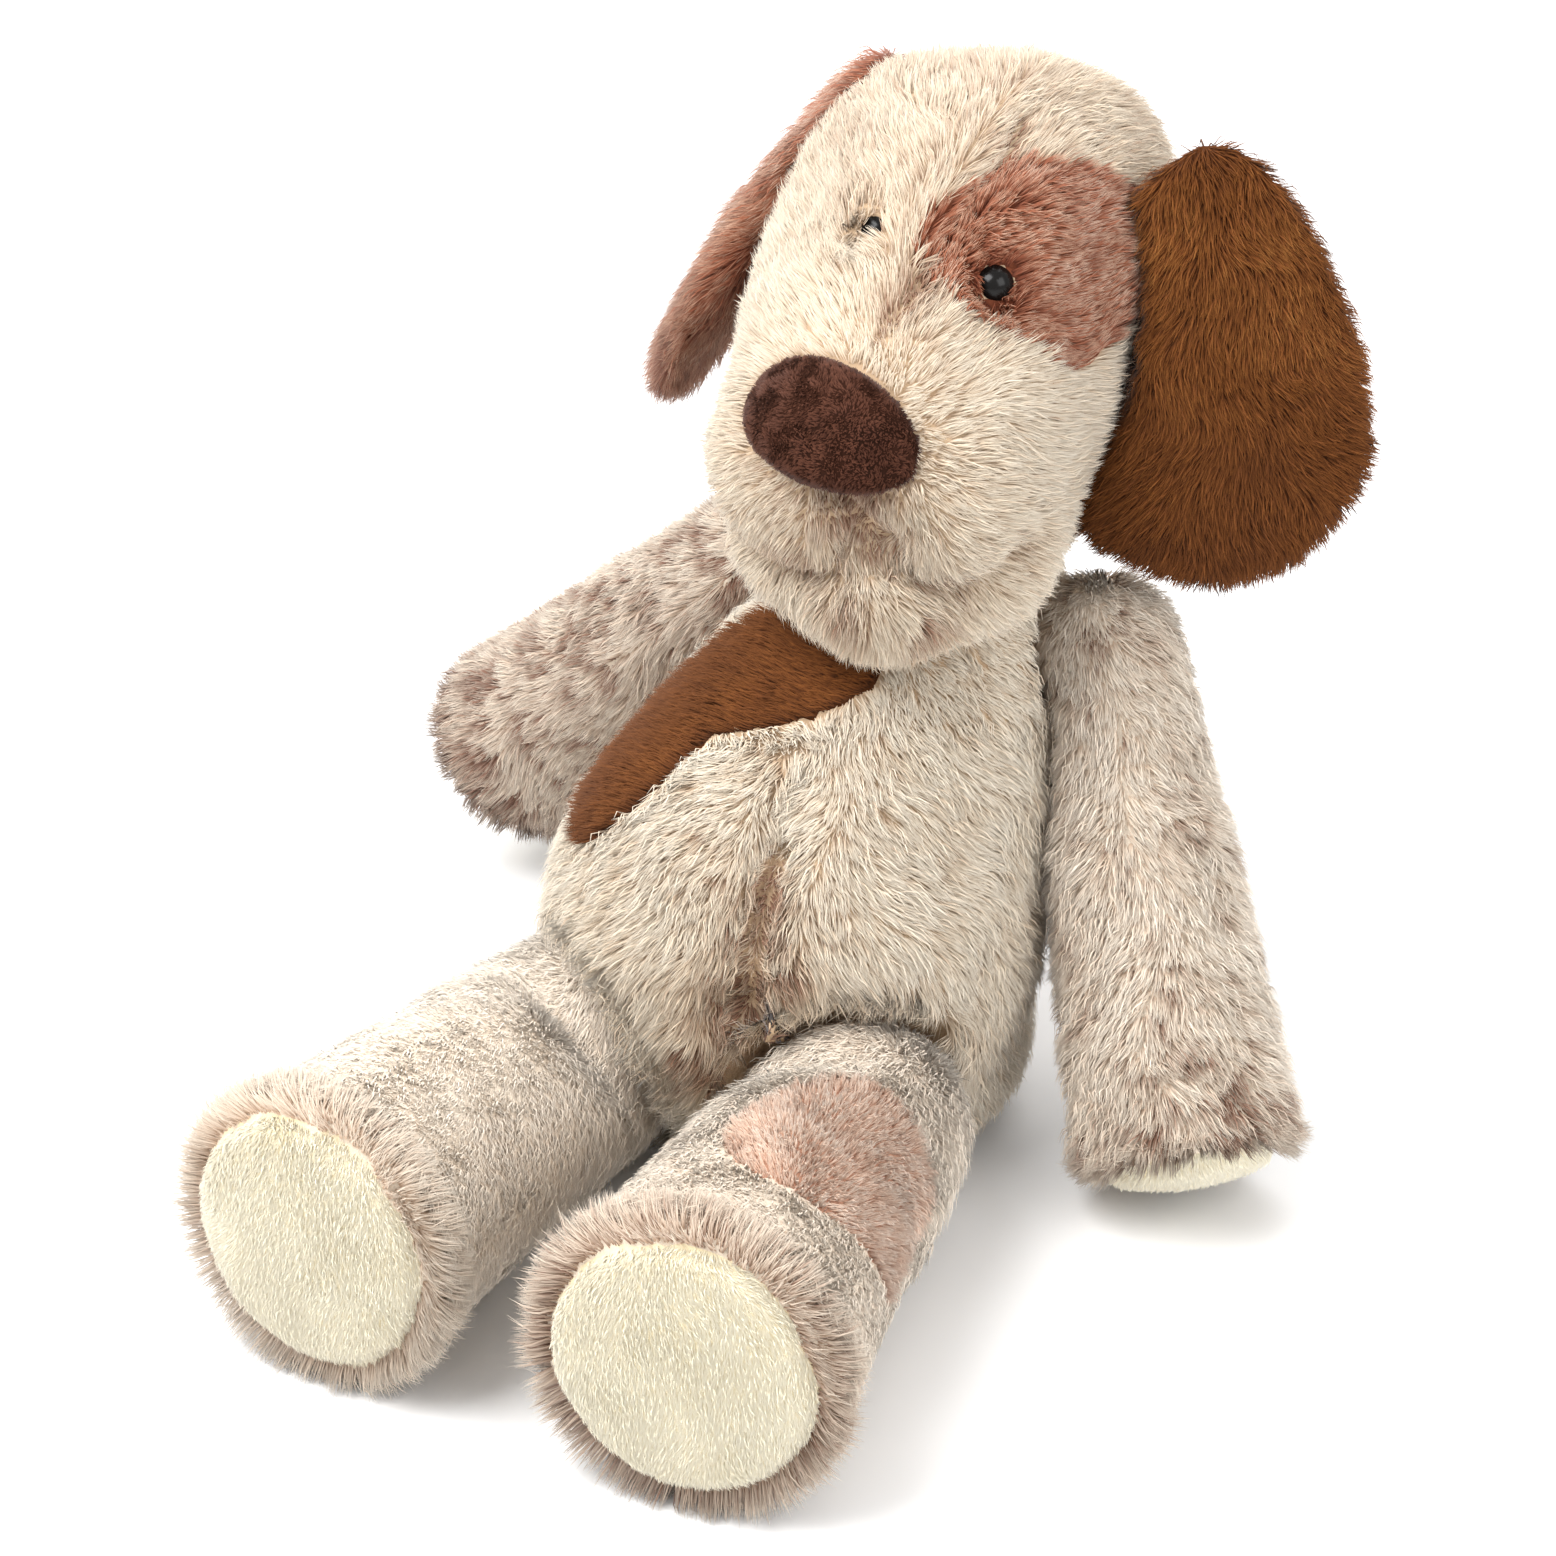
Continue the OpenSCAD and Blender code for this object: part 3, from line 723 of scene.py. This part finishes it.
def build_torso():
    def held(points, normals):
        seam = from_line(points, BELLY_SEAM)[0] < 3 * MM
        rim = ~out_of_sockets(points, normals)
        return seam | rim | (points[:, 2] < 2 * MM)

    nodes = ["torso_cover", "chest_patch", "torso_stuffing"]
    skin = made_skin(nodes, 3.2 * MM, BACKING, held, cap=2.0 * MM)
    crease(skin, BELLY_SEAM, 6.0 * MM, 6.0 * MM, 3.6 * MM)
    crease(skin, BELLY_TUCK, 5.0 * MM, 6.0 * MM, 3.4 * MM)
    skin.lift_off_floor()
    piece = cover("torso_skin", skin, CREAM_BACK, "torso", "body_pile", nodes)
    patch = Near("chest_patch")

    def furred(points, normals):
        clear = out_of_sockets(points, normals) & (out_of_head(points) > 1.0 * MM)
        return clear & (points[:, 2] > 1.0 * MM)

    def length_at(points):
        neck = far_from(points, NECK)
        rim = np.zeros(len(points))
        for middle, radius in SOCKETS[:2]:
            far = far_from(points, middle)
            rim = np.maximum(rim, step(radius + 13 * MM, radius + 6 * MM, far))
        return 1 - 0.3 * step(50 * MM, 36 * MM, neck) + 0.45 * rim

    mottle = mottled(16 * MM, 0.11, 3, 0.34)
    parted = darker(BELLY_MARKS, 0.80, 31)

    def shade(points):
        return mottle(points) + parted(points)

    panels = [("left_front", 1, 1), ("right_front", 1, -1), ("left_back", -1, 1), ("right_back", -1, -1)]
    for side, sign, half in panels:
        def kept(points, normals, sign=sign, half=half):
            chosen = furred(points, normals) & (sign * (14 * MM + 0.3 * points[:, 2] - points[:, 1]) > 0)
            chosen &= half * (points[:, 0] - 12 * MM) > 0
            if sign > 0:
                chosen &= ~patch.among(points, chosen, 3.2 * MM)
            return chosen

        def comb(points, normals):
            flow = unit(torso_comb(points, normals))
            close = patch.among(points, points[:, 1] < 40 * MM, 7 * MM)
            line = (points - (patch.low + patch.high) / 2)[close]
            above = (line[:, 2] > 0.75 * line[:, 0])[:, None]
            flow[close] = np.where(above, np.array([-0.5, 0, 0.5]), np.array([0.5, -0.2, -0.8]))
            return flow

        pile = strands(f"torso_{side}_pile", skin, kept, comb, CREAM, 3.2, 7.0 * MM, 0.43 * MM,
                       rise=0.50, swirl=0.8, shade=shade, length_at=length_at,
                       seed=14 + sign + 2 * half, tone_bias=0.22)
        place(pile, "torso", "body_pile")

    def in_patch(points, normals):
        chosen = furred(points, normals) & (points[:, 1] < 45 * MM)
        return patch.among(points, chosen, 3.8 * MM)

    def patch_comb(points, normals):
        return np.tile([-0.75, 0.1, -0.65], (len(points), 1))

    back_with(piece, skin, BROWN_BACK, in_patch)
    pile = strands("chest_patch_pile", skin, in_patch, patch_comb, CARAMEL, 4.0, 5.5 * MM, 0.45 * MM,
                   rise=0.75, swirl=0.25, clump=0.15, seed=14, shade=mottled(9 * MM, 0.12, 8),
                   tone_bias=-0.3)
    place(pile, "torso", "caramel_pile")


# ---- Head ----

NOSE_AT = centre("nose")
BEAD_R = 4.5 * MM


def bead_at(side):
    """The middle of an eye's bead: it lies on the line from the washer through the shank."""
    washer = centre(f"{side}_eye_washer")
    points = cad_arrays(f"{side}_eye")[0]
    out = unit(points.mean(axis=0) - washer)
    return washer + (((points - washer) @ out).max() - BEAD_R) * out


LEFT_EYE, RIGHT_EYE = bead_at("left"), bead_at("right")
FOREHEAD_SEAM = np.array([[29, 60, 243], [28.7, 51, 238], [24.6, 27.6, 219.6], [18.5, 8.3, 204.3]]) * MM
MOUTH = np.array([[19.3, -12, 178], [24.6, -12.7, 172], [29.1, -11.7, 164]]) * MM
SMILE = np.array([[29.1, -11.7, 164], [34.6, -7.7, 156.3], [41.4, -1.3, 152.4], [48, 5.3, 154.8],
                  [52.4, 11.2, 159.4]]) * MM
SMILE_RIGHT = np.array([[29.1, -11.7, 164], [20, -11, 156], [8, -6, 152], [-4, 2, 154], [-10, 8, 159]]) * MM
EYE_VALLEY = np.array([[-10, 34, 212], [8, 22, 213], [24, 20, 212], [42, 22, 205], [54, 34, 196]]) * MM
# Each fold in the face: its line, its depth, its width, and how far the pile parts
FACE_FOLDS = [(FOREHEAD_SEAM, 2.4, 4.0, 1.8), (MOUTH, 6.5, 4.5, 2.8), (SMILE, 10.0, 6.5, 4.2),
              (SMILE_RIGHT, 7.5, 6.0, 3.4), (EYE_VALLEY, 1.5, 9.0, 0.1)]
# Fuller places in the stuffing: a middle, how far it stands out, and how wide it is
FACE_SWELLS = [((-26, 50, 196), 6.0, 34), ((8, 44, 231), 6.5, 13), ((40, 45, 226), 6.0, 12),
               ((22, 12, 208), 5.5, 14), ((-6, 20, 202), 4.5, 13), ((50, 24, 198), 4.0, 12),
               ((-16, 0, 174), 5.0, 18), ((50, 3, 172), 5.5, 16),
               ((26, -2, 140), 7.0, 14), ((48, 24, 144), 4.5, 16), ((-10, 16, 141), 4.5, 16),
               ((37.6, 94.5, 235.5), 4.0, 20), ((-10.5, 73.4, 238), 3.0, 20)]
# Darker places round the nose and mouth, most along the mouth's folds and one in the valley between the
# eyes: brown roots, and painted shade in those folds and that valley.
MUZZLE_MARKS = [((22, -13, 174), 9), ((29, -11, 165), 8), ((42, 0, 154), 8), ((6, -9, 158), 8),
                ((20, -9, 147), 7), ((54, 12, 160), 6), ((-8, 4, 162), 7), ((36, 0, 143), 7),
                ((24, 20, 212), 7)]
SWELLS = [(np.array(m) * MM, h * MM, w * MM) for m, h, w in FACE_SWELLS]
# The stuffing also fills the face round the eyes, so that the beads lie deep in the pile
SWELLS += [(LEFT_EYE, 6.0 * MM, 16 * MM), (RIGHT_EYE, 6.0 * MM, 16 * MM),
           (LEFT_EYE, 1.8 * MM, 8 * MM), (RIGHT_EYE, 1.9 * MM, 8 * MM)]
ACROSS_FACE = unit(LEFT_EYE - RIGHT_EYE)


def settled(points, normals):
    """Places on the full face, taken back to where the cover lay before it was filled out."""
    raised = np.zeros(len(points))
    for middle, height, width in SWELLS:
        raised += height * np.exp(-(far_from(points, middle) / width) ** 2)
    return points - raised[:, None] * normals


def eye_gap(points):
    """Distance from the nearer eye, counted longer to its sides, where the pile closes over it."""
    gaps = []
    for eye, closed in ((LEFT_EYE, 0.25), (RIGHT_EYE, 0.2)):
        aside = points - eye
        across = (aside @ ACROSS_FACE)[:, None] * ACROSS_FACE
        gaps.append(np.linalg.norm(aside + closed * across, axis=1))
    return np.minimum(gaps[0], gaps[1])


def head_comb(points, normals):
    """Away from the nose, to both sides of the forehead, down at the back, and over each eye's sides."""
    flow = unit(points - NOSE_AT)
    top = step(196 * MM, 222 * MM, points[:, 2])[:, None]
    sideways = np.sign(points[:, 0] - 22 * MM)[:, None] * np.array([1.0, 0.2, -0.2])
    flow = flow + 0.55 * top * sideways
    behind = step(66 * MM, 104 * MM, points[:, 1])[:, None]
    flow = unit(flow) * (1 - behind) + behind * np.array([0, 0.2, -1.0])
    for eye in (LEFT_EYE, RIGHT_EYE):
        aside = points - eye
        near = 0.7 * step(11 * MM, 6 * MM, np.linalg.norm(aside, axis=1))[:, None]
        across = (aside @ ACROSS_FACE)[:, None] * ACROSS_FACE
        flow = unit(flow) * (1 - near) + unit(aside - 2 * across) * near
    return flow


def build_head():
    def held(points, normals):
        near = np.min([from_line(points, fold[0])[0] for fold in FACE_FOLDS[:4]], axis=0)
        neck = far_from(points, NECK) < 40 * MM
        return (near < 3 * MM) | (eye_gap(points) < 6 * MM) | neck

    nodes = ["head_cover", "eye_patch", "head_stuffing"]
    skin = made_skin(nodes, 3.0 * MM, BACKING, held, cap=2.0 * MM)
    for path, depth, width, parting in FACE_FOLDS:
        crease(skin, path, depth * MM, width * MM, parting * MM)
    for middle, height, width in SWELLS:
        swell(skin, middle, height, width)
    skin.smooth(1)
    piece = cover("head_skin", skin, CREAM_BACK, "head", "body_pile", nodes + ["mouth_seam"])
    patch = Near("eye_patch")
    nose_cover = Near("nose")

    def furred(points, normals):
        neck = far_from(points, NECK) > 39.0 * MM
        near_nose = far_from(points, NOSE_AT) < 30 * MM
        under_nose = nose_cover.among(points, near_nose, 0.8 * MM)
        return neck & ~under_nose & (out_of_torso(points) > 0.5 * MM) & (eye_gap(points) > 4.8 * MM)

    def length_at(points):
        near_nose = step(16 * MM, 44 * MM, far_from(points, NOSE_AT))
        return 0.65 + 0.35 * near_nose - 0.22 * step(9 * MM, 6 * MM, eye_gap(points))

    def lift_at(points):
        by_nose = step(30 * MM, 20 * MM, far_from(points, NOSE_AT))
        return 0.30 * step(12 * MM, 5 * MM, eye_gap(points)) + 0.40 * by_nose

    soft_shade = mottled(13 * MM, 0.09, 21, 0.12)
    parted = darker(MUZZLE_MARKS, 0.46, 41)

    def shade(points):
        muzzle = step(36 * MM, 16 * MM, far_from(points, NOSE_AT))
        muzzle = muzzle * step(6 * MM, -8 * MM, points[:, 2] - NOSE_AT[2])
        # The crown's pile is painted darker: painted shade that tones down the brighter light falling on the
        # top of the head.
        crown = step(205 * MM, 236 * MM, points[:, 2])
        return soft_shade(points) + parted(points) - 0.22 * muzzle - 0.20 * crown

    rust_shade = mottled(6 * MM, 0.22, 4)

    def patch_shade(points):
        # Close to the eye the rust pile is painted darker: painted shade in the socket round the bead.
        return rust_shade(points) - 0.55 * step(10 * MM, 4 * MM, eye_gap(points))

    panels = [("left_face", 1, -1), ("right_face", -1, -1), ("left_crown", 1, 1), ("right_crown", -1, 1)]
    for side, sign, end in panels:
        def kept(points, normals, sign=sign, end=end):
            middle = 16 * MM + 0.12 * (points[:, 1] - 20 * MM)
            chosen = furred(points, normals) & (sign * (points[:, 0] - middle) > 0)
            chosen &= end * (points[:, 1] - 52 * MM) > 0
            if sign > 0:
                chosen &= ~patch.among(settled(points, normals), chosen, 3.0 * MM)
            return chosen

        pile = strands(f"{side}_pile", skin, kept, head_comb, CREAM, 3.6, 6.6 * MM, 0.40 * MM,
                       rise=0.50, swirl=0.6, clump=0.3, shade=shade, length_at=length_at,
                       lift_at=lift_at, seed=33 + sign + 3 * end, tone_bias=0.02)
        place(pile, "head", "body_pile")

    def in_patch(points, normals):
        chosen = furred(points, normals) & (points[:, 0] > 20 * MM)
        return patch.among(settled(points, normals), chosen, 3.2 * MM)

    back_with(piece, skin, RUST_BACK, in_patch)
    pile = strands("eye_patch_pile", skin, in_patch, head_comb, RUST, 4.2, 5.6 * MM, 0.42 * MM, rise=0.6,
                   swirl=0.8, clump=0.35, seed=35, length_at=length_at, lift_at=lift_at, shade=patch_shade)
    place(pile, "head", "rust_pile")


def build_nose():
    skin = made_skin(["nose"], 1.0 * MM, 0.3 * MM, cap=0.8 * MM, rounds=3)
    ahead = unit(NOSE_AT - MUZZLE)
    side = unit(np.cross(ahead, [0, 0, 1.0]))
    wider = np.abs(skin.normals @ side) ** 2
    skin.move(1.6 * MM * wider[:, None] * skin.normals)
    cover("nose_pad", skin, FLEECE_BACK, "head", "nose_fleece", ["nose"])

    def comb(points, normals):
        return unit(np.stack([noise(points, 3 * MM, number) for number in (71, 72, 73)], 1))

    def outer(points, normals):
        return (points - MUZZLE) @ ahead > 30 * MM

    pile = strands("nose_fleece_pile", skin, outer, comb, FLEECE, 8.0, 1.1 * MM, 0.5 * MM,
                   rise=0.8, swirl=2.0, clump=0.3, tuft_mm=1.0, seed=51, shade=mottled(3 * MM, 0.2, 9))
    place(pile, "head", "nose_fleece")


# ---- Ears ----

EAR_LENGTH = 100 * MM


def build_ear(side, material, back_material, slot, root, pile_length):
    nodes = [f"{side}_ear_front", f"{side}_ear_back"]
    body = f"{side}_ear"
    middle = (centre(nodes[0]) + centre(nodes[1])) / 2
    down = unit(middle - root)

    def held(points, normals):
        return far_from(points, root) < 14 * MM

    skin = made_skin(nodes, 2.4 * MM, 0.6 * MM, held, cap=2.2 * MM, rounds=5)
    low = step(0.2, 0.9, (skin.points - root) @ down / EAR_LENGTH)
    ripple = 2.4 * MM * low * noise(skin.points, 24 * MM, 6)
    skin.move(ripple[:, None] * skin.normals)
    cover(f"{side}_ear_skin", skin, back_material, body, slot, nodes)

    def comb(points, normals):
        out = points - middle
        out = out - (out @ down)[:, None] * down
        return down + 1.3 * out / (30 * MM)

    def free(points, normals):
        return out_of_head(points) > (0.5 if side == "left" else 3.0) * MM

    mottle = mottled(18 * MM, 0.22, 12, 0.2)

    def shade(points):
        low = step(0.35, 0.95, (points - root) @ down / EAR_LENGTH)
        return mottle(points) + 0.10 - 0.35 * low

    facing = unit(centre(nodes[0]) - centre(nodes[1]))
    for face, sign in (("front", 1), ("back", -1)):
        def kept(points, normals, sign=sign):
            return free(points, normals) & (sign * (normals @ facing) > -0.02)

        pile = strands(f"{side}_ear_{face}_pile", skin, kept, comb, material, 4.2, pile_length, 0.37 * MM,
                       rise=0.45, swirl=0.8, clump=0.2, tuft_mm=3.5, seed=61 + sign, shade=shade)
        place(pile, body, slot)


# ---- Limbs ----

LEFT_ARM_MARKS = [((110, 3, 49), 9), ((98, -5, 44), 6), ((71, 10, 60), 4), ((86, 25, 87), 5),
                  ((82, 43, 103), 6), ((68, 52, 124), 7), ((57, 44, 121), 5), ((122, 17, 36), 6)]
RIGHT_ARM_MARKS = [((-121, 63, 56), 6), ((-105, 62, 73), 5), ((-83, 55, 85), 6), ((-64, 52, 102), 5),
                   ((-118, 57, 40), 6), ((-104, 55, 53), 5), ((-88, 54, 70), 4)]


def build_limb(name, joint, pad, patch, seed, is_leg, tone_bias, marks):
    """An arm or a leg: pile combed towards the paw, and a fringe round the pad."""
    nodes = [f"{name}_cover", f"{name}_stuffing", pad] + ([patch] if patch else [])
    start = joint_at(joint)
    end = centre(pad)
    axis = unit(end - start)
    reach = np.linalg.norm(end - start)
    pad_r = 27.5 * MM if is_leg else 15 * MM
    soft_r = pad_r + (2 if is_leg else 5) * MM

    def frame_of(points):
        """How far along the limb, the way out from its axis, and how far out."""
        along = (points - start) @ axis
        out = points - start - along[:, None] * axis
        return along, out, np.linalg.norm(out, axis=1)

    def held(points, normals):
        along, _, off = frame_of(points)
        seam = (along > reach - 3 * MM) & (np.abs(off - pad_r) < 2.5 * MM)
        return seam | (along < 0)

    skin = made_skin(nodes, 3.0 * MM, BACKING, held, cap=2.2 * MM)
    before = skin.points
    upper = step(52 * MM, 38 * MM, frame_of(before)[0])[:, None]
    skin.smooth(12)
    skin.move((1 - upper) * (before - skin.points))
    along, _, off = frame_of(skin.points)
    at_end = step(reach - 8 * MM, reach - 3 * MM, along)
    rim = np.exp(-((off - soft_r - 0.5 * MM) / (1.8 * MM)) ** 2) * at_end
    dome = np.clip(1 - (off / soft_r) ** 2, 0, 1) * at_end
    skin.move((3.4 * MM * dome - 1.6 * MM * rim)[:, None] * skin.normals)
    skin.lift_off_floor()
    piece = cover(f"{name}_skin", skin, LIMB_BACK, name, "limb_pile", nodes)

    def on_pad(points, normals):
        along, _, off = frame_of(points)
        wavy = soft_r + 0.9 * MM * noise(points, 7 * MM, seed)
        return (along > reach - 8 * MM) & (off < wavy) & (normals @ axis > 0.2)

    def comb(points, normals):
        along, out, _ = frame_of(points)
        rim = step(reach - 20 * MM, reach - 4 * MM, along)[:, None]
        onward = 1 - (1.25 if is_leg else 0.7) * rim
        return onward * axis + 1.1 * rim * unit(out) + 0.3 * (1 - rim) * np.array([0, 0, -1.0])

    def pad_comb(points, normals):
        return np.tile([0.3, 0.1, -1.0], (len(points), 1))

    patch_near = Near(patch) if patch else None

    def covered(points, normals):
        chosen = ~on_pad(points, normals) & (out_of_torso(points) > -8 * MM)
        if patch:
            chosen &= ~patch_near.among(points, chosen, 1.6 * MM)
        return chosen

    def length_at(points):
        along = frame_of(points)[0]
        flare = step(reach - 24 * MM, reach - 8 * MM, along)
        top = step(42 * MM, 26 * MM, along)
        return 0.48 + 0.62 * flare + 0.40 * top if is_leg else 0.85 + 0.15 * flare

    def lift_at(points):
        along, _, off = frame_of(points)
        edge = step(soft_r + 7 * MM, soft_r + 1 * MM, off) * step(reach - 9 * MM, reach - 4 * MM, along)
        flat = step(reach - 16 * MM, reach - 26 * MM, along) if is_leg else 0.0
        return 0.6 * edge - 0.14 * flat

    base_shade = mottled(13 * MM, 0.07 if is_leg else 0.14, seed + 7, 0.0 if is_leg else 0.55)
    parted = darker(marks, 0.45, seed + 8)

    def shade(points):
        fringe = step(reach - 22 * MM, reach - 6 * MM, frame_of(points)[0])
        dark = -0.45 if is_leg else -0.30
        return base_shade(points) + parted(points) + dark * fringe

    for part, sign in (("upper", 1), ("under", -1)):
        def kept(points, normals, sign=sign):
            return covered(points, normals) & (sign * frame_of(points)[1][:, 2] > 0)

        pile = strands(f"{name}_{part}_pile", skin, kept, comb, LIMB, 4.2 if is_leg else 3.4,
                       7.4 * MM, 0.42 * MM, rise=0.50, swirl=0.5 if is_leg else 0.75,
                       clump=0.22 if is_leg else 0.38, shade=shade, length_at=length_at,
                       lift_at=lift_at, seed=seed + sign, tone_bias=tone_bias)
        place(pile, name, "limb_pile")

    def in_patch(points, normals):
        return patch_near.within(points, 1.8 * MM)

    if patch:
        back_with(piece, skin, PINK_BACK, in_patch)
        pile = strands(f"{patch}_pile", skin, in_patch, comb, PINK, 4.0, 3.2 * MM, 0.46 * MM,
                       rise=0.9, swirl=0.8, clump=0.3, tuft_mm=2.0, seed=seed + 4,
                       shade=mottled(4 * MM, 0.25, 4), tone_bias=0.2)
        place(pile, name, "pink_short_pile")

    back_with(piece, skin, PAD_BACK, on_pad)
    pile = strands(f"{pad}_pile", skin, on_pad, pad_comb, PAD, 8.0, 2.4 * MM, 0.34 * MM, rise=0.5, swirl=0.9,
                   clump=0.06, tuft_mm=2.5, seed=seed + 5, shade=mottled(10 * MM, 0.12, 3))
    place(pile, name, "cream_pad")


def build_tail():
    nodes = ["tail_cover", "tail_stuffing"]
    axis = unit(centre("tail_cover") - joint_at("tail_wag"))
    skin = made_skin(nodes, 2.4 * MM, BACKING)
    cover("tail_skin", skin, BROWN_BACK, "tail", "caramel_pile", nodes)

    def comb(points, normals):
        return np.tile(axis, (len(points), 1))

    def kept(points, normals):
        return out_of_torso(points) > 0.5 * MM

    pile = strands("tail_pile", skin, kept, comb, CARAMEL, 3.0, 7.5 * MM, 0.45 * MM, rise=0.5, seed=91,
                   shade=mottled(9 * MM, 0.2, 3))
    place(pile, "tail", "caramel_pile")


# ---- Carried-over CAD pieces ----

def glossy_eye():
    material, tree, shader = blank("eye_bead", 0.2)
    put(shader, {"Specular IOR Level": 0.25})
    coloured_by(tree, shader, "ShaderNodeTexNoise", "Fac", 300,
                [(0.3, (0.03, 0.025, 0.02)), (0.7, (0.06, 0.045, 0.04))])
    return material


def plain_inner(name, dark, light, scale, roughness):
    material, tree, shader = blank(name, roughness)
    coloured_by(tree, shader, "ShaderNodeTexVoronoi", "Distance", scale, [(0.0, dark), (1.0, light)])
    return material


def dress_cad():
    eye = glossy_eye()
    washer = plain_inner("washer_plastic", (0.80, 0.80, 0.78), (0.90, 0.90, 0.88), 200, 0.5)
    beads = plain_inner("pellets", (0.60, 0.60, 0.56), (0.90, 0.90, 0.86), 400, 0.6)
    for node, material in (("left_eye", eye), ("right_eye", eye), ("left_eye_washer", washer),
                           ("right_eye_washer", washer), ("seat_pellet_bag", beads),
                           ("left_foot_pellets", beads), ("right_foot_pellets", beads)):
        data = frame["nodes"][node].data
        data.materials.clear()
        data.materials.append(material)


# ---- Studio ----

TARGET = Vector((0, 0, 0.095))
FLOOR = 3.0


def aimed(name, data, azimuth, elevation, distance):
    """A lamp or a camera that faces the target, with its angles in degrees."""
    azimuth, elevation = math.radians(azimuth), math.radians(elevation)
    where = Vector((math.sin(azimuth) * math.cos(elevation), -math.cos(azimuth) * math.cos(elevation),
                    math.sin(elevation)))
    obj = new_object(name, data)
    obj.location = TARGET + distance * where
    obj.rotation_euler = where.to_track_quat("Z", "Y").to_euler()
    return obj


def build_studio():
    points = FLOOR * np.array([[-1, -1, 0], [1, -1, 0], [1, 1, 0], [-1, 1, 0]], float)
    material, tree, shader = blank("floor", 0.9)
    coloured_by(tree, shader, "ShaderNodeTexNoise", "Fac", 4,
                [(0.3, (0.93, 0.93, 0.93)), (0.7, (0.95, 0.95, 0.95))])
    floor = new_object("floor", new_mesh("floor", points, np.array([[0, 1, 2], [0, 2, 3]])), material)

    world = bpy.data.worlds.new("studio")
    bpy.context.scene.world = world
    world.use_nodes = True
    put(world.node_tree.nodes["Background"], {"Color": (1.0, 1.0, 1.0, 1), "Strength": 0.84})

    lights = [("key", -35, 55, 1.6, 1.0, 30), ("fill", 75, 35, 1.8, 1.2, 14),
              ("back", 190, 50, 1.7, 1.0, 12)]
    for name, azimuth, elevation, distance, size, power in lights:
        data = bpy.data.lights.new(name, "AREA")
        data.size = size
        data.energy = power
        aimed(name, data, azimuth, elevation, distance)

    data = bpy.data.cameras.new("camera")
    data.lens = 99.5
    data.sensor_width = 36
    bpy.context.scene.camera = aimed("camera", data, 28, 30, 1.0)
    bpy.context.scene.view_settings.view_transform = "Standard"


build_studio()
build_torso()
build_head()
build_nose()
build_ear("left", CARAMEL, BROWN_BACK, "caramel_pile", joint_at("left_ear_flap"), 6.2 * MM)
build_ear("right", RUST, RUST_BACK, "rust_pile", joint_at("right_ear_flap"), 9.0 * MM)
build_limb("left_arm", "left_shoulder_lift", "left_paw_pad", None, 101, False, 0.26, LEFT_ARM_MARKS)
build_limb("right_arm", "right_shoulder_lift", "right_paw_pad", None, 111, False, -0.14, RIGHT_ARM_MARKS)
# The legs share one fabric, but the left leg's pile is painted darker and the right leg's lighter: painted
# shade and painted light that even out how the lamps fall on them.
build_limb("left_leg", "left_hip_lift", "left_sole_pad", "left_leg_patch", 121, True, 0.16, [])
build_limb("right_leg", "right_hip_lift", "right_sole_pad", None, 131, True, 0.38, [])
build_tail()
dress_cad()
